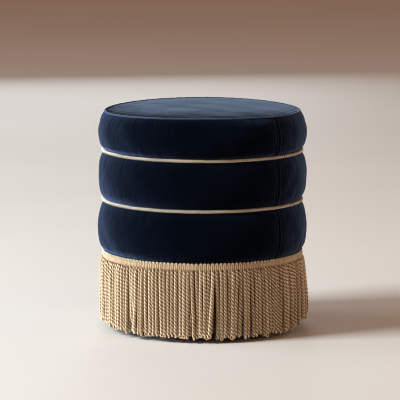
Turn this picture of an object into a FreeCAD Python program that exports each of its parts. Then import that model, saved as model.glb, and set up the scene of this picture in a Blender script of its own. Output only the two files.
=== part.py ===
import FreeCAD, Part
import math
import os
import Sketcher

# Round upholstered tuffet: a plywood and hardboard drum on four short feet, a thick seat foam and
# two foam rolls, velvet bands pulled into grooves under rope trims, and a bullion fringe round the base.
# Millimetres. +Z is up, the origin is the centre of the floor under the stool, and the photographed
# front looks along +Y, with +X to the right.

Vec = FreeCAD.Vector
doc = FreeCAD.newDocument("Tuffet")
sheet = doc.addObject("Spreadsheet::Sheet", "Sizes")


class Size:
    """A number together with the expression that gives it, so that sketches and features stay bound to the sheet."""

    def __init__(self, value, text):
        self.value = float(value)
        self.text = text

    def _other(self, other):
        return other if isinstance(other, Size) else Size(other, repr(float(other)))

    def __add__(self, other):
        o = self._other(other)
        return Size(self.value + o.value, "(%s + %s)" % (self.text, o.text))

    def __sub__(self, other):
        o = self._other(other)
        return Size(self.value - o.value, "(%s - %s)" % (self.text, o.text))

    def __mul__(self, other):
        o = self._other(other)
        return Size(self.value * o.value, "(%s * %s)" % (self.text, o.text))

    def __truediv__(self, other):
        o = self._other(other)
        return Size(self.value / o.value, "(%s / %s)" % (self.text, o.text))


CELLS = [
    # heights above the floor
    ("total_height", 459.0),      # top of the crowned seat panel
    ("seam_height", 453.6),       # seat welt, centre
    ("upper_groove", 371.0),      # centre of the upper rope
    ("lower_groove", 268.5),      # centre of the lower rope
    ("header_top", 163.8),        # top of the bead edge
    ("header_low", 149.2),        # lower edge of the header tape
    ("fringe_low", 11.5),         # mean height of the strands' looped ends
    ("board_low", 32.0),          # underside of the base board
    # radii
    ("seam_radius", 201.2),       # seat welt, centre line
    ("hoop_radius", 201.0),       # outer edge of the top board and both hoops
    ("hoop_bore", 165.0),         # inner edge of both hoops
    ("panel_radius", 189.8),      # outside of the upper and middle drum panels
    ("base_radius", 199.0),       # base board and base drum panel
    ("rope_ring", 206.0),         # rope centre lines
    ("roll_flank", 213.0),        # roll surface 21 mm from each groove
    ("foot_circle", 169.0),       # feet and their bolts
    ("post_circle", 172.5),       # middle of the posts
    # thicknesses and details
    ("cloth", 1.5),               # velvet with its backing
    ("ease", 0.3),                # gap between soft pieces
    ("rope_radius", 3.35),
    ("welt_radius", 1.4),
    ("top_ply", 18.0),
    ("hoop_ply", 15.0),
    ("base_ply", 18.0),
    ("panel_board", 3.0),         # hardboard of the drum panels
    ("lining_cloth", 1.0),
    ("cover_cloth", 0.8),
    ("roll_arc", 150.0),          # radius of the flat middle of a roll
    ("shoulder_arc", 42.0),       # radius of a roll near its grooves
    ("flank_inset", 21.0),        # from a groove to the end of the flat middle
    ("tuck", 1.5),                # from a groove to where the band leaves the wood
    ("post_deep", 25.0),          # post, along the radius
    ("post_wide", 45.0),          # post, along the circle
    ("bolt_radius", 3.9),
    ("nut_radius", 5.0),
    ("screw_radius", 2.0),
    ("strand_thick", 7.0),        # bullion strand
    ("header_thick", 5.4),
    ("bead_radius", 2.0),
    ("foot_top_radius", 18.6),
    ("foot_low_radius", 17.0),
    ("glide_radius", 13.0),
    ("glide_thick", 3.0),
]
S = {}
for row, (alias, value) in enumerate(CELLS, 1):
    sheet.set("A%d" % row, alias)
    sheet.set("B%d" % row, repr(value))
    sheet.setAlias("B%d" % row, alias)
    S[alias] = Size(value, "Sizes." + alias)
doc.recompute()

FEET = (38.0, 128.0, 218.0, 308.0)      # azimuths from the front, turning to the right
POSTS = (83.0, 173.0, 263.0, 353.0)
PLACES = ("front_right", "back_right", "back_left", "front_left")
POST_PLACES = ("right", "back", "left", "front")
nodes = []


def around(azimuth):
    a = math.radians(azimuth)
    return math.sin(a), -math.cos(a)


def plane_of(body, role):
    return [f for f in body.Origin.OriginFeatures if f.Role == role][0]


def new_body(label):
    body = doc.addObject("PartDesign::Body", label)
    body.Label = label
    nodes.append(body)
    return body


def new_sketch(body, name, role):
    sketch = body.newObject("Sketcher::SketchObject", name)
    sketch.AttachmentSupport = [(plane_of(body, role), "")]
    sketch.MapMode = "FlatFace"
    return sketch


def bind(sketch, kind, geo, pos, size, name):
    """Tie one coordinate of a vertex to the sheet; a zero coordinate is put on the axis instead."""
    if abs(size.value) < 1e-9:
        sketch.addConstraint(Sketcher.Constraint("PointOnObject", geo, pos, -2 if kind == "DistanceX" else -1))
        return
    index = sketch.addConstraint(Sketcher.Constraint(kind, -1, 1, geo, pos, size.value))
    sketch.renameConstraint(index, name)
    sketch.setExpression("Constraints." + name, size.text)


def profile(sketch, points, arcs=None):
    """A closed profile through points (radius, height); arcs gives edge index -> (radius, side), side +1 bulging right of travel."""
    arcs = arcs or {}
    count = len(points)
    for i in range(count):
        x0, z0 = points[i][0].value, points[i][1].value
        x1, z1 = points[(i + 1) % count][0].value, points[(i + 1) % count][1].value
        a, b = Vec(x0, z0, 0), Vec(x1, z1, 0)
        if i in arcs:
            radius, side = arcs[i][0].value, arcs[i][1]
            chord = b - a
            half = chord.Length / 2.0
            drop = radius - math.sqrt(radius * radius - half * half)
            normal = Vec(chord.y, -chord.x, 0)
            normal.normalize()
            middle = (a + b) * 0.5 + normal * (drop * side)
            sketch.addGeometry(Part.Arc(a, middle, b), False)
        else:
            sketch.addGeometry(Part.LineSegment(a, b), False)
    ends = []
    for i in range(count):
        flip = False
        if i in arcs:
            start = sketch.getPoint(i, 1)
            flip = (start - Vec(points[i][0].value, points[i][1].value, 0)).Length > 1e-4
        ends.append((2, 1) if flip else (1, 2))
    for i in range(count):
        j = (i + 1) % count
        sketch.addConstraint(Sketcher.Constraint("Coincident", i, ends[i][1], j, ends[j][0]))
    for i in range(count):
        bind(sketch, "DistanceX", i, ends[i][0], points[i][0], "across%d" % i)
        bind(sketch, "DistanceY", i, ends[i][0], points[i][1], "height%d" % i)
    for i in arcs:
        index = sketch.addConstraint(Sketcher.Constraint("Radius", i, arcs[i][0].value))
        sketch.renameConstraint(index, "arc%d" % i)
        sketch.setExpression("Constraints.arc%d" % i, arcs[i][0].text)


def turned(label, points, arcs=None):
    """A body turned about the stool's own axis."""
    body = new_body(label)
    sketch = new_sketch(body, label + "_profile", "XZ_Plane")
    profile(sketch, points, arcs)
    spin = body.newObject("PartDesign::Revolution", label + "_turn")
    spin.Profile = sketch
    spin.ReferenceAxis = (sketch, ["V_Axis"])
    spin.Angle = 360
    doc.recompute()
    return body


def num(value):
    return Size(value, repr(float(value)))


def circle_pocket(body, name, centre_radius, azimuth, hole, count):
    """Round holes through a flat board, one sketched and the rest patterned round the axis."""
    before = body.Shape.Volume
    sketch = new_sketch(body, name + "_sketch", "XY_Plane")
    ax, ay = around(azimuth)
    sketch.addGeometry(Part.Circle(Vec(ax * centre_radius.value, ay * centre_radius.value, 0), Vec(0, 0, 1), hole.value), False)
    for kind, factor, nick in (("DistanceX", ax, "side"), ("DistanceY", ay, "ahead")):
        index = sketch.addConstraint(Sketcher.Constraint(kind, -1, 1, 0, 3, centre_radius.value * factor))
        sketch.renameConstraint(index, nick)
        sketch.setExpression("Constraints." + nick, "%s * %r" % (centre_radius.text, factor))
    index = sketch.addConstraint(Sketcher.Constraint("Radius", 0, hole.value))
    sketch.renameConstraint(index, "hole")
    sketch.setExpression("Constraints.hole", hole.text)
    pocket = body.newObject("PartDesign::Pocket", name)
    pocket.Profile = sketch
    pocket.Type = "ThroughAll"
    pocket.Midplane = True
    doc.recompute()
    if count > 1:
        pattern = body.newObject("PartDesign::PolarPattern", name + "_round")
        pattern.Originals = [pocket]
        pattern.Axis = (sketch, ["N_Axis"])
        pattern.Angle = 360
        pattern.Occurrences = count
        body.Tip = pattern
        doc.recompute()
    assert body.Shape.Volume < before - 1.0, name


def disc(label, radius, thick, low):
    """A flat round board, padded up from its own base plane and then lifted into place."""
    body = new_body(label)
    sketch = new_sketch(body, label + "_outline", "XY_Plane")
    sketch.addGeometry(Part.Circle(Vec(0, 0, 0), Vec(0, 0, 1), radius.value), False)
    sketch.addConstraint(Sketcher.Constraint("Coincident", 0, 3, -1, 1))
    index = sketch.addConstraint(Sketcher.Constraint("Radius", 0, radius.value))
    sketch.renameConstraint(index, "outline")
    sketch.setExpression("Constraints.outline", radius.text)
    pad = body.newObject("PartDesign::Pad", label + "_pad")
    pad.Profile = sketch
    pad.Length = thick.value
    pad.setExpression("Length", thick.text)
    body.setExpression(".Placement.Base.z", low.text)
    doc.recompute()
    return body


def notches(body, name, azimuth):
    """Four notches in a hoop's inner edge, that the posts stand in."""
    before = body.Shape.Volume
    sketch = new_sketch(body, name + "_sketch", "XY_Plane")
    ux, uy = around(azimuth)
    vx, vy = -uy, ux
    r_in = S["post_circle"] - S["post_deep"] / 2.0 - 12.0
    r_out = S["post_circle"] + S["post_deep"] / 2.0
    half = S["post_wide"] / 2.0
    corners = []
    for r, s in ((r_in, -1), (r_out, -1), (r_out, 1), (r_in, 1)):
        x = r * ux + half * (s * vx)
        y = r * uy + half * (s * vy)
        corners.append((x, y))
    profile(sketch, corners)
    pocket = body.newObject("PartDesign::Pocket", name)
    pocket.Profile = sketch
    pocket.Type = "ThroughAll"
    pocket.Midplane = True
    doc.recompute()
    pattern = body.newObject("PartDesign::PolarPattern", name + "_round")
    pattern.Originals = [pocket]
    pattern.Axis = (sketch, ["N_Axis"])
    pattern.Angle = 360
    pattern.Occurrences = 4
    body.Tip = pattern
    doc.recompute()
    assert body.Shape.Volume < before - 1000.0, name


def rod(name, radius, long, base, direction=Vec(0, 0, 1)):
    """A plain cylinder used as a shank or as a drill."""
    c = doc.addObject("Part::Cylinder", name)
    c.Radius = radius.value
    c.setExpression("Radius", radius.text)
    c.Height = long.value
    c.setExpression("Height", long.text)
    c.Placement = FreeCAD.Placement(base, FreeCAD.Rotation(Vec(0, 0, 1), direction))
    return c


def cone(name, low_radius, high_radius, long, base, direction=Vec(0, 0, 1)):
    c = doc.addObject("Part::Cone", name)
    c.Radius1 = low_radius.value
    c.setExpression("Radius1", low_radius.text)
    c.Radius2 = high_radius.value
    c.setExpression("Radius2", high_radius.text)
    c.Height = long.value
    c.setExpression("Height", long.text)
    c.Placement = FreeCAD.Placement(base, FreeCAD.Rotation(Vec(0, 0, 1), direction))
    return c


def group(label, members):
    """Alike fasteners kept as one group of separate solids."""
    g = doc.addObject("Part::Compound", label)
    g.Label = label
    g.Links = members
    nodes.append(g)
    return g


def fuse(name, members):
    f = doc.addObject("Part::MultiFuse", name)
    f.Shapes = members
    return f


def torus(label, ring, thick, height):
    t = doc.addObject("Part::Torus", label)
    t.Label = label
    t.Radius1 = ring.value
    t.setExpression("Radius1", ring.text)
    t.Radius2 = thick.value
    t.setExpression("Radius2", thick.text)
    t.setExpression(".Placement.Base.z", height.text)
    nodes.append(t)
    return t


# ---------------------------------------------------------------- wooden frame
top_low = S["upper_groove"] - S["top_ply"] / 2.0
top_high = S["upper_groove"] + S["top_ply"] / 2.0
mid_low = S["lower_groove"] - S["hoop_ply"] / 2.0
mid_high = S["lower_groove"] + S["hoop_ply"] / 2.0
low_low = S["header_low"]
low_high = S["header_low"] + S["hoop_ply"]
base_low = S["board_low"]
base_high = S["board_low"] + S["base_ply"]

post_mid = S["post_circle"]
pair = 12.0       # half the distance between the two screws in a post end
swing = math.degrees(math.atan2(pair, post_mid.value))
reach = Size(math.hypot(post_mid.value, pair), "sqrt(%s * %s + %r)" % (post_mid.text, post_mid.text, pair * pair))

top_board = disc("top_board", S["hoop_radius"], S["top_ply"], top_low)
for k, turn in enumerate((-swing, swing)):
    circle_pocket(top_board, "top_board_screw_holes_%d" % k, reach, POSTS[0] + turn, S["screw_radius"], 4)

base_board = disc("base_board", S["base_radius"], S["base_ply"], base_low)
circle_pocket(base_board, "foot_bolt_holes", S["foot_circle"], FEET[0], S["nut_radius"], 4)
for k, turn in enumerate((-swing, swing)):
    circle_pocket(base_board, "base_board_screw_holes_%d" % k, reach, POSTS[0] + turn, S["screw_radius"], 4)


def hoop(label, low):
    body = disc(label, S["hoop_radius"], S["hoop_ply"], low)
    circle = new_sketch(body, label + "_bore_sketch", "XY_Plane")
    circle.addGeometry(Part.Circle(Vec(0, 0, 0), Vec(0, 0, 1), S["hoop_bore"].value), False)
    circle.addConstraint(Sketcher.Constraint("Coincident", 0, 3, -1, 1))
    index = circle.addConstraint(Sketcher.Constraint("Radius", 0, S["hoop_bore"].value))
    circle.renameConstraint(index, "bore")
    circle.setExpression("Constraints.bore", S["hoop_bore"].text)
    before = body.Shape.Volume
    pocket = body.newObject("PartDesign::Pocket", label + "_bore")
    pocket.Profile = circle
    pocket.Type = "ThroughAll"
    pocket.Midplane = True
    doc.recompute()
    assert body.Shape.Volume < before * 0.5, label
    notches(body, label + "_notches", POSTS[0])
    return body


hoop("middle_hoop", mid_low)
hoop("lower_hoop", low_low)

# posts: end screws run up and down into them, hoop screws run out through them
screw_deep = num(30.0)
posts_long = top_low - base_high
hoop_mid = (mid_low + S["hoop_ply"] / 2.0, low_low + S["hoop_ply"] / 2.0)
hoop_screw_long = num(34.0)
for place, az in zip(POST_PLACES, POSTS):
    ux, uy = around(az)
    vx, vy = -uy, ux
    box = doc.addObject("Part::Box", "post_%s_block" % place)
    box.Length = S["post_deep"].value
    box.setExpression("Length", S["post_deep"].text)
    box.Width = S["post_wide"].value
    box.setExpression("Width", S["post_wide"].text)
    box.Height = posts_long.value
    box.setExpression("Height", posts_long.text)
    spot = Vec(ux, uy, 0) * (post_mid.value - S["post_deep"].value / 2.0) - Vec(vx, vy, 0) * (S["post_wide"].value / 2.0)
    box.Placement = FreeCAD.Placement(spot + Vec(0, 0, base_high.value), FreeCAD.Rotation(Vec(0, 0, 1), math.degrees(math.atan2(uy, ux))))
    drills = []
    for n, s in enumerate((-pair, pair)):
        foot = Vec(ux, uy, 0) * post_mid.value + Vec(vx, vy, 0) * s
        drills.append(rod("post_%s_low_drill_%d" % (place, n), S["screw_radius"], screw_deep, foot + Vec(0, 0, base_high.value)))
        drills.append(rod("post_%s_top_drill_%d" % (place, n), S["screw_radius"], screw_deep, foot + Vec(0, 0, top_low.value), Vec(0, 0, -1)))
    for n, level in enumerate(hoop_mid):
        start = Vec(ux, uy, 0) * (post_mid.value - S["post_deep"].value / 2.0) + Vec(0, 0, level.value)
        drills.append(rod("post_%s_side_drill_%d" % (place, n), S["screw_radius"], S["post_deep"], start, Vec(ux, uy, 0)))
    post = doc.addObject("Part::Cut", "post_" + place)
    post.Label = "post_" + place
    post.Base = box
    post.Tool = fuse("post_%s_drills" % place, drills)
    nodes.append(post)

# blind holes for the hoop screws, cut into the hoops from inside
for label, level in (("middle_hoop", mid_low + S["hoop_ply"] / 2.0), ("lower_hoop", low_low + S["hoop_ply"] / 2.0)):
    body = [n for n in nodes if n.Label == label][0]
    holes = []
    for n, az in enumerate(POSTS):
        ux, uy = around(az)
        start = Vec(ux, uy, 0) * (post_mid.value + S["post_deep"].value / 2.0) + Vec(0, 0, level.value)
        holes.append(rod("%s_screw_hole_%d" % (label, n), S["screw_radius"], hoop_screw_long - S["post_deep"], start, Vec(ux, uy, 0)))
    drilled = doc.addObject("Part::Cut", label + "_drilled")
    drilled.Base = body
    drilled.Tool = fuse(label + "_holes", holes)
    nodes.remove(body)
    body.Label = label + "_blank"
    drilled.Label = label
    nodes.append(drilled)

# ---------------------------------------------------------------- screws
head = num(2.4)
head_wide = num(4.2)
tops, lows, sides = [], [], []
for n, az in enumerate(POSTS):
    ux, uy = around(az)
    vx, vy = -uy, ux
    for k, s in enumerate((-pair, pair)):
        at = Vec(ux, uy, 0) * post_mid.value + Vec(vx, vy, 0) * s
        shank = rod("top_shank_%d_%d" % (n, k), S["screw_radius"], S["top_ply"] + screw_deep, at + Vec(0, 0, top_high.value), Vec(0, 0, -1))
        cap = cone("top_cap_%d_%d" % (n, k), head_wide, S["screw_radius"], num(0.25), at + Vec(0, 0, top_high.value + 0.25), Vec(0, 0, -1))
        tops.append(fuse("top_screw_%d_%d" % (n, k), [shank, cap]))
        shank = rod("low_shank_%d_%d" % (n, k), S["screw_radius"], S["base_ply"] + screw_deep, at + Vec(0, 0, base_low.value))
        cap = cone("low_cap_%d_%d" % (n, k), head_wide, S["screw_radius"], num(0.25), at + Vec(0, 0, base_low.value - 0.25))
        lows.append(fuse("low_screw_%d_%d" % (n, k), [shank, cap]))
    for k, level in enumerate(hoop_mid):
        start = Vec(ux, uy, 0) * (post_mid.value - S["post_deep"].value / 2.0) + Vec(0, 0, level.value)
        shank = rod("side_shank_%d_%d" % (n, k), S["screw_radius"], hoop_screw_long, start, Vec(ux, uy, 0))
        cap = cone("side_cap_%d_%d" % (n, k), head_wide, S["screw_radius"], head, start - Vec(ux, uy, 0) * head.value, Vec(ux, uy, 0))
        sides.append(fuse("side_screw_%d_%d" % (n, k), [shank, cap]))
group("top_board_screws", tops)
group("base_board_screws", lows)
group("hoop_screws", sides)

# ---------------------------------------------------------------- drum panels
def tube(label, outside, low, high):
    inside = outside - S["panel_board"]
    return turned(label, [(inside, low), (outside, low), (outside, high), (inside, high)])


tube("upper_drum_panel", S["panel_radius"], mid_high, top_low)
tube("middle_drum_panel", S["panel_radius"], low_high, mid_low)
tube("base_drum_panel", S["base_radius"], base_high, low_low)

# ---------------------------------------------------------------- foam
ease = S["ease"]
inset = S["cloth"] + S["ease"]
foam_in = S["panel_radius"] + ease
flank = S["roll_flank"]

# middle roll, between the two hoops at the grooves
turned(
    "middle_foam_roll",
    [
        (foam_in, mid_high + ease),
        (S["hoop_radius"] + 4.2, mid_high + ease),
        (flank - inset, S["lower_groove"] + S["flank_inset"]),
        (flank - inset, S["upper_groove"] - S["flank_inset"]),
        (S["hoop_radius"] + 5.0, top_low - ease),
        (foam_in, top_low - ease),
    ],
    {1: (S["shoulder_arc"], 1), 2: (S["roll_arc"], 1), 3: (S["shoulder_arc"], 1)},
)

# lower roll, from the header hoop to the lower groove
turned(
    "lower_foam_roll",
    [
        (foam_in, low_high + ease),
        (S["hoop_radius"] + 0.6, S["header_top"] + 1.0),
        (S["hoop_radius"] + 6.4, S["header_top"] + 7.0),
        (flank - inset, S["header_top"] + 15.0),
        (flank - inset, S["lower_groove"] - S["flank_inset"]),
        (S["hoop_radius"] + 4.2, mid_low - ease),
        (foam_in, mid_low - ease),
    ],
    {1: (num(14.0), 1), 2: (num(30.0), 1), 3: (S["roll_arc"], 1), 4: (S["shoulder_arc"], 1)},
)

# seat foam: a thick pad on the top board, whose rounded side fills the top roll
turned(
    "seat_foam",
    [
        (num(0.0), top_high + ease),
        (S["hoop_radius"] + 6.9, top_high + ease),
        (S["hoop_radius"] + 8.6, S["upper_groove"] + 12.6),
        (S["hoop_radius"] + 10.0, S["seam_height"] - 23.6),
        (S["seam_radius"] - 2.6, S["seam_height"] - 2.4),
        (num(0.0), S["total_height"] - inset),
    ],
    {2: (num(77.0), 1), 3: (num(38.0), 1)},
)

# ---------------------------------------------------------------- velvet
cloth = S["cloth"]
face = S["hoop_radius"] + cloth


def band(label, outer, arcs):
    """A velvet band: its outer line, and the same line one cloth thickness further in."""
    back = [(r - cloth, z) for r, z in reversed(outer)]
    edges = dict(arcs)
    last = len(outer) - 1
    for i, (radius, side) in arcs.items():
        edges[last + 1 + (last - 1 - i)] = (radius, -side)
    return turned(label, outer + back, edges)


band(
    "middle_velvet_band",
    [
        (face, S["lower_groove"] + 0.15),
        (face, S["lower_groove"] + S["tuck"]),
        (flank, S["lower_groove"] + S["flank_inset"]),
        (flank, S["upper_groove"] - S["flank_inset"]),
        (face, S["upper_groove"] - S["tuck"]),
        (face, S["upper_groove"] - 0.15),
    ],
    {1: (S["shoulder_arc"], 1), 2: (S["roll_arc"], 1), 3: (S["shoulder_arc"], 1)},
)
band(
    "lower_velvet_band",
    [
        (face + 0.4, S["header_low"] + 7.0),
        (face + 0.4, S["header_top"] + 0.4),
        (S["hoop_radius"] + 8.2, S["header_top"] + 6.4),
        (flank, S["header_top"] + 15.0),
        (flank, S["lower_groove"] - S["flank_inset"]),
        (face, S["lower_groove"] - S["tuck"]),
        (face, S["lower_groove"] - 0.15),
    ],
    {1: (num(14.0), 1), 2: (num(30.0), 1), 3: (S["roll_arc"], 1), 4: (S["shoulder_arc"], 1)},
)
band(
    "upper_velvet_band",
    [
        (face, S["upper_groove"] + 0.15),
        (face, S["upper_groove"] + 3.6),
        (S["hoop_radius"] + 10.6, S["upper_groove"] + 11.8),
        (S["hoop_radius"] + 11.8, S["seam_height"] - 23.6),
        (S["seam_radius"] + 1.8, S["seam_height"] - 2.0),
    ],
    {1: (num(18.0), 1), 2: (num(77.0), 1), 3: (num(38.0), 1)},
)
turned(
    "seat_top_panel",
    [
        (num(0.0), S["total_height"] - cloth),
        (S["seam_radius"] - 1.6, S["seam_height"] - 0.9),
        (S["seam_radius"] - 1.6, S["seam_height"] + 0.6),
        (num(0.0), S["total_height"]),
    ],
)
torus("seat_welt", S["seam_radius"], S["welt_radius"], S["seam_height"])

# ---------------------------------------------------------------- trims
torus("upper_rope_trim", S["rope_ring"], S["rope_radius"], S["upper_groove"])
torus("lower_rope_trim", S["rope_ring"], S["rope_radius"], S["lower_groove"])

header_in = face + 0.7
header_out = header_in + S["header_thick"]
tape_top = S["header_top"] - S["bead_radius"] * 2.0 - 0.1
turned(
    "fringe_header",
    [(header_in, S["header_low"]), (header_out, S["header_low"]), (header_out, tape_top), (header_in, tape_top)],
)
torus("header_bead_edge", header_in + S["header_thick"] / 2.0 + 0.3, S["bead_radius"], S["header_top"] - S["bead_radius"])
fringe_in = header_in + 1.4
turned(
    "bullion_fringe",
    [
        (fringe_in + 1.8, S["fringe_low"]),
        (fringe_in + 1.8 + S["strand_thick"], S["fringe_low"]),
        (fringe_in + S["strand_thick"], S["header_low"] - ease),
        (fringe_in, S["header_low"] - ease),
    ],
)

# ---------------------------------------------------------------- underside
lining_out = S["base_radius"] + S["lining_cloth"]
lining_low = base_low - S["cover_cloth"]
turned(
    "base_lining",
    [
        (S["base_radius"] - 14.0, lining_low),
        (lining_out, lining_low),
        (lining_out, S["header_low"]),
        (S["base_radius"], S["header_low"]),
        (S["base_radius"], base_low),
        (S["base_radius"] - 14.0, base_low),
    ],
)
cover_low = lining_low - S["cover_cloth"]
dust_cover = disc("dust_cover", S["base_radius"] - 1.5, S["cover_cloth"], cover_low)
circle_pocket(dust_cover, "dust_cover_bolt_holes", S["foot_circle"], FEET[0], S["bolt_radius"], 4)

# staples: a flat crown against the dust cover and two legs up into the base board
staple_ring = 191.0
staples = []
for n in range(24):
    az = 7.5 + 15.0 * n
    if min(abs((az - f + 180.0) % 360.0 - 180.0) for f in FEET) < 8.0:
        continue
    ux, uy = around(az)
    vx, vy = -uy, ux
    parts = []
    for width, tall, shift, name in ((10.0, 0.7, 0.0, "crown"), (0.7, 7.0, -4.65, "leg_a"), (0.7, 7.0, 4.65, "leg_b")):
        b = doc.addObject("Part::Box", "staple_%d_%s" % (n, name))
        b.Length, b.Width, b.Height = 1.2, width, tall
        at = Vec(ux, uy, 0) * (staple_ring - 0.6) + Vec(vx, vy, 0) * (shift - width / 2.0) + Vec(0, 0, cover_low.value - 0.7)
        b.Placement = FreeCAD.Placement(at, FreeCAD.Rotation(Vec(0, 0, 1), math.degrees(math.atan2(uy, ux))))
        parts.append(b)
    staples.append(fuse("staple_%d" % n, parts))
group("dust_cover_staples", staples)

# ---------------------------------------------------------------- feet
foot_top = cover_low
foot_low = num(2.0)
bolt_low = num(8.0)
bolt_high = base_high + 8.0
nut_low = base_low + 6.0
bolts, nuts, glides = [], [], []
for place, az in zip(PLACES, FEET):
    ux, uy = around(az)
    body = new_body("foot_" + place)
    sketch = new_sketch(body, "foot_%s_profile" % place, "XZ_Plane")
    profile(
        sketch,
        [
            (num(1.5), foot_low + 1.0),
            (S["glide_radius"] + 0.2, foot_low + 1.0),
            (S["glide_radius"] + 0.2, foot_low),
            (S["foot_low_radius"] - 1.0, foot_low),
            (S["foot_low_radius"], foot_low + 1.0),
            (S["foot_top_radius"], foot_top - 1.0),
            (S["foot_top_radius"] - 1.0, foot_top),
            (S["bolt_radius"], foot_top),
            (S["bolt_radius"], bolt_low + 2.0),
            (num(1.5), bolt_low + 2.0),
        ],
    )
    spin = body.newObject("PartDesign::Revolution", "foot_%s_turn" % place)
    spin.Profile = sketch
    spin.ReferenceAxis = (sketch, ["V_Axis"])
    spin.Angle = 360
    body.setExpression(".Placement.Base.x", "Sizes.foot_circle * %r" % ux)
    body.setExpression(".Placement.Base.y", "Sizes.foot_circle * %r" % uy)
    doc.recompute()
    at = Vec(ux, uy, 0) * S["foot_circle"].value
    bolts.append(rod("bolt_%s" % place, S["bolt_radius"], bolt_high - bolt_low - 2.0, at + Vec(0, 0, bolt_low.value + 2.0)))
    barrel = rod("nut_%s_barrel" % place, S["nut_radius"], base_high - nut_low, at + Vec(0, 0, nut_low.value))
    flange = rod("nut_%s_flange" % place, num(11.0), num(1.5), at + Vec(0, 0, base_high.value))
    bore = rod("nut_%s_bore" % place, S["bolt_radius"], num(60.0), at + Vec(0, 0, base_low.value))
    nut = doc.addObject("Part::Cut", "nut_%s" % place)
    nut.Base = fuse("nut_%s_blank" % place, [barrel, flange])
    nut.Tool = bore
    nuts.append(nut)
    plate = rod("glide_%s_plate" % place, S["glide_radius"], S["glide_thick"], at)
    nail = rod("glide_%s_nail" % place, num(1.5), num(9.0), at + Vec(0, 0, 1.0))
    glides.append(fuse("glide_%s" % place, [plate, nail]))
group("hanger_bolts", bolts)
group("tee_nuts", nuts)
group("foot_glides", glides)

# ---------------------------------------------------------------- check, then write
doc.recompute()
bad = [o.Name for o in doc.Objects if "Invalid" in o.State or "Error" in o.State]
assert not bad, "failed objects: %s" % bad
for node in nodes:
    shape = node.Shape
    assert not shape.isNull(), node.Label
    assert shape.isValid(), node.Label
    assert shape.Solids, node.Label
os.makedirs("parts", exist_ok=True)
for node in nodes:
    node.Shape.exportStep("parts/%s.step" % node.Label)
    box = node.Shape.BoundBox
    print("%-22s solids %2d  volume %10.1f  z %7.2f %7.2f  x %7.2f %7.2f" % (node.Label, len(node.Shape.Solids), node.Shape.Volume, box.ZMin, box.ZMax, box.XMin, box.XMax))
print(len(nodes), "nodes")
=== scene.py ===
import math

import bpy
import numpy as np
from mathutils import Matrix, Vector


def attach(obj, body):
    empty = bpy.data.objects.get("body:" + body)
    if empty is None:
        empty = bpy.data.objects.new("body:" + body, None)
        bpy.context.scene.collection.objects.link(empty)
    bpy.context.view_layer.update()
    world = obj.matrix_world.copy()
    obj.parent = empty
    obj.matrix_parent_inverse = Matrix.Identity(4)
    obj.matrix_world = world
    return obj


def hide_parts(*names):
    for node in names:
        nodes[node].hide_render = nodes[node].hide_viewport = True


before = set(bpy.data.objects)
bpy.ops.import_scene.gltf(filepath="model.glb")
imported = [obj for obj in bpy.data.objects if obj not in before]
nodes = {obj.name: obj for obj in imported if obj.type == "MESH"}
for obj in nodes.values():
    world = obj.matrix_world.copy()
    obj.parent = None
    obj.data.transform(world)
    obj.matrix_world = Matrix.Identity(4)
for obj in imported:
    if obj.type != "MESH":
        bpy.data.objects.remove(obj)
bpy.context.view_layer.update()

rng = np.random.default_rng(20817)
MM = 0.001
TAU = 2.0 * math.pi

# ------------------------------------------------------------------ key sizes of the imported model, in millimetres
UPPER_GROOVE = 371.0
LOWER_GROOVE = 268.5
SEAM_Z = 453.6
SEAM_R = 201.2
ROPE_RING = 206.0
HEADER_LOW = 149.2
HEADER_TOP = 163.8
SEAM_AZ = math.radians(46.4)          # the sewn side seam, right of the front


# ------------------------------------------------------------------ mesh helpers
def volume_of(co, quads, tris):
    a, b, c, d = (co[quads[:, k]] for k in range(4))
    v = (a * np.cross(b, c)).sum() + (a * np.cross(c, d)).sum()
    if len(tris):
        a, b, c = (co[tris[:, k]] for k in range(3))
        v += (a * np.cross(b, c)).sum()
    return v / 6.0


def make_object(name, co, quads=None, tris=None, uv=None, tint=None, deep=None, material=None):
    """A closed mesh piece from arrays in millimetres; uv is per loop, quads first and then triangles."""
    me = bpy.data.meshes.new(name)
    co = np.asarray(co, float)
    quads = np.zeros((0, 4), np.int32) if quads is None else np.asarray(quads, np.int32)
    tris = np.zeros((0, 3), np.int32) if tris is None else np.asarray(tris, np.int32)
    if volume_of(co, quads, tris) < 0:                 # faces look outward
        if uv is not None:
            n = len(quads) * 4
            uv = np.concatenate([uv[:n].reshape(-1, 4, 2)[:, ::-1].reshape(-1, 2), uv[n:].reshape(-1, 3, 2)[:, ::-1].reshape(-1, 2)])
        quads, tris = quads[:, ::-1], tris[:, ::-1]
    co = (co * MM).astype(np.float32)
    loops = np.concatenate([quads.ravel(), tris.ravel()]).astype(np.int32)
    starts = np.concatenate([np.arange(len(quads)) * 4, len(quads) * 4 + np.arange(len(tris)) * 3]).astype(np.int32)
    me.vertices.add(len(co))
    me.vertices.foreach_set("co", co.ravel())
    me.loops.add(len(loops))
    me.loops.foreach_set("vertex_index", loops)
    me.polygons.add(len(starts))
    me.polygons.foreach_set("loop_start", starts)
    me.polygons.foreach_set("use_smooth", np.ones(len(starts), bool))
    me.update(calc_edges=True)
    if uv is not None:
        layer = me.uv_layers.new(name="UVMap")
        layer.data.foreach_set("uv", np.asarray(uv, np.float32).ravel())
    if tint is not None:
        a = me.attributes.new("tint", "FLOAT", "POINT")
        a.data.foreach_set("value", np.asarray(tint, np.float32).ravel())
    if deep is not None:
        a = me.attributes.new("deep", "FLOAT", "POINT")
        a.data.foreach_set("value", np.asarray(deep, np.float32).ravel())
    me.validate()
    ob = bpy.data.objects.new(name, me)
    bpy.context.scene.collection.objects.link(ob)
    if material is not None:
        me.materials.append(material)
    return ob


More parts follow.
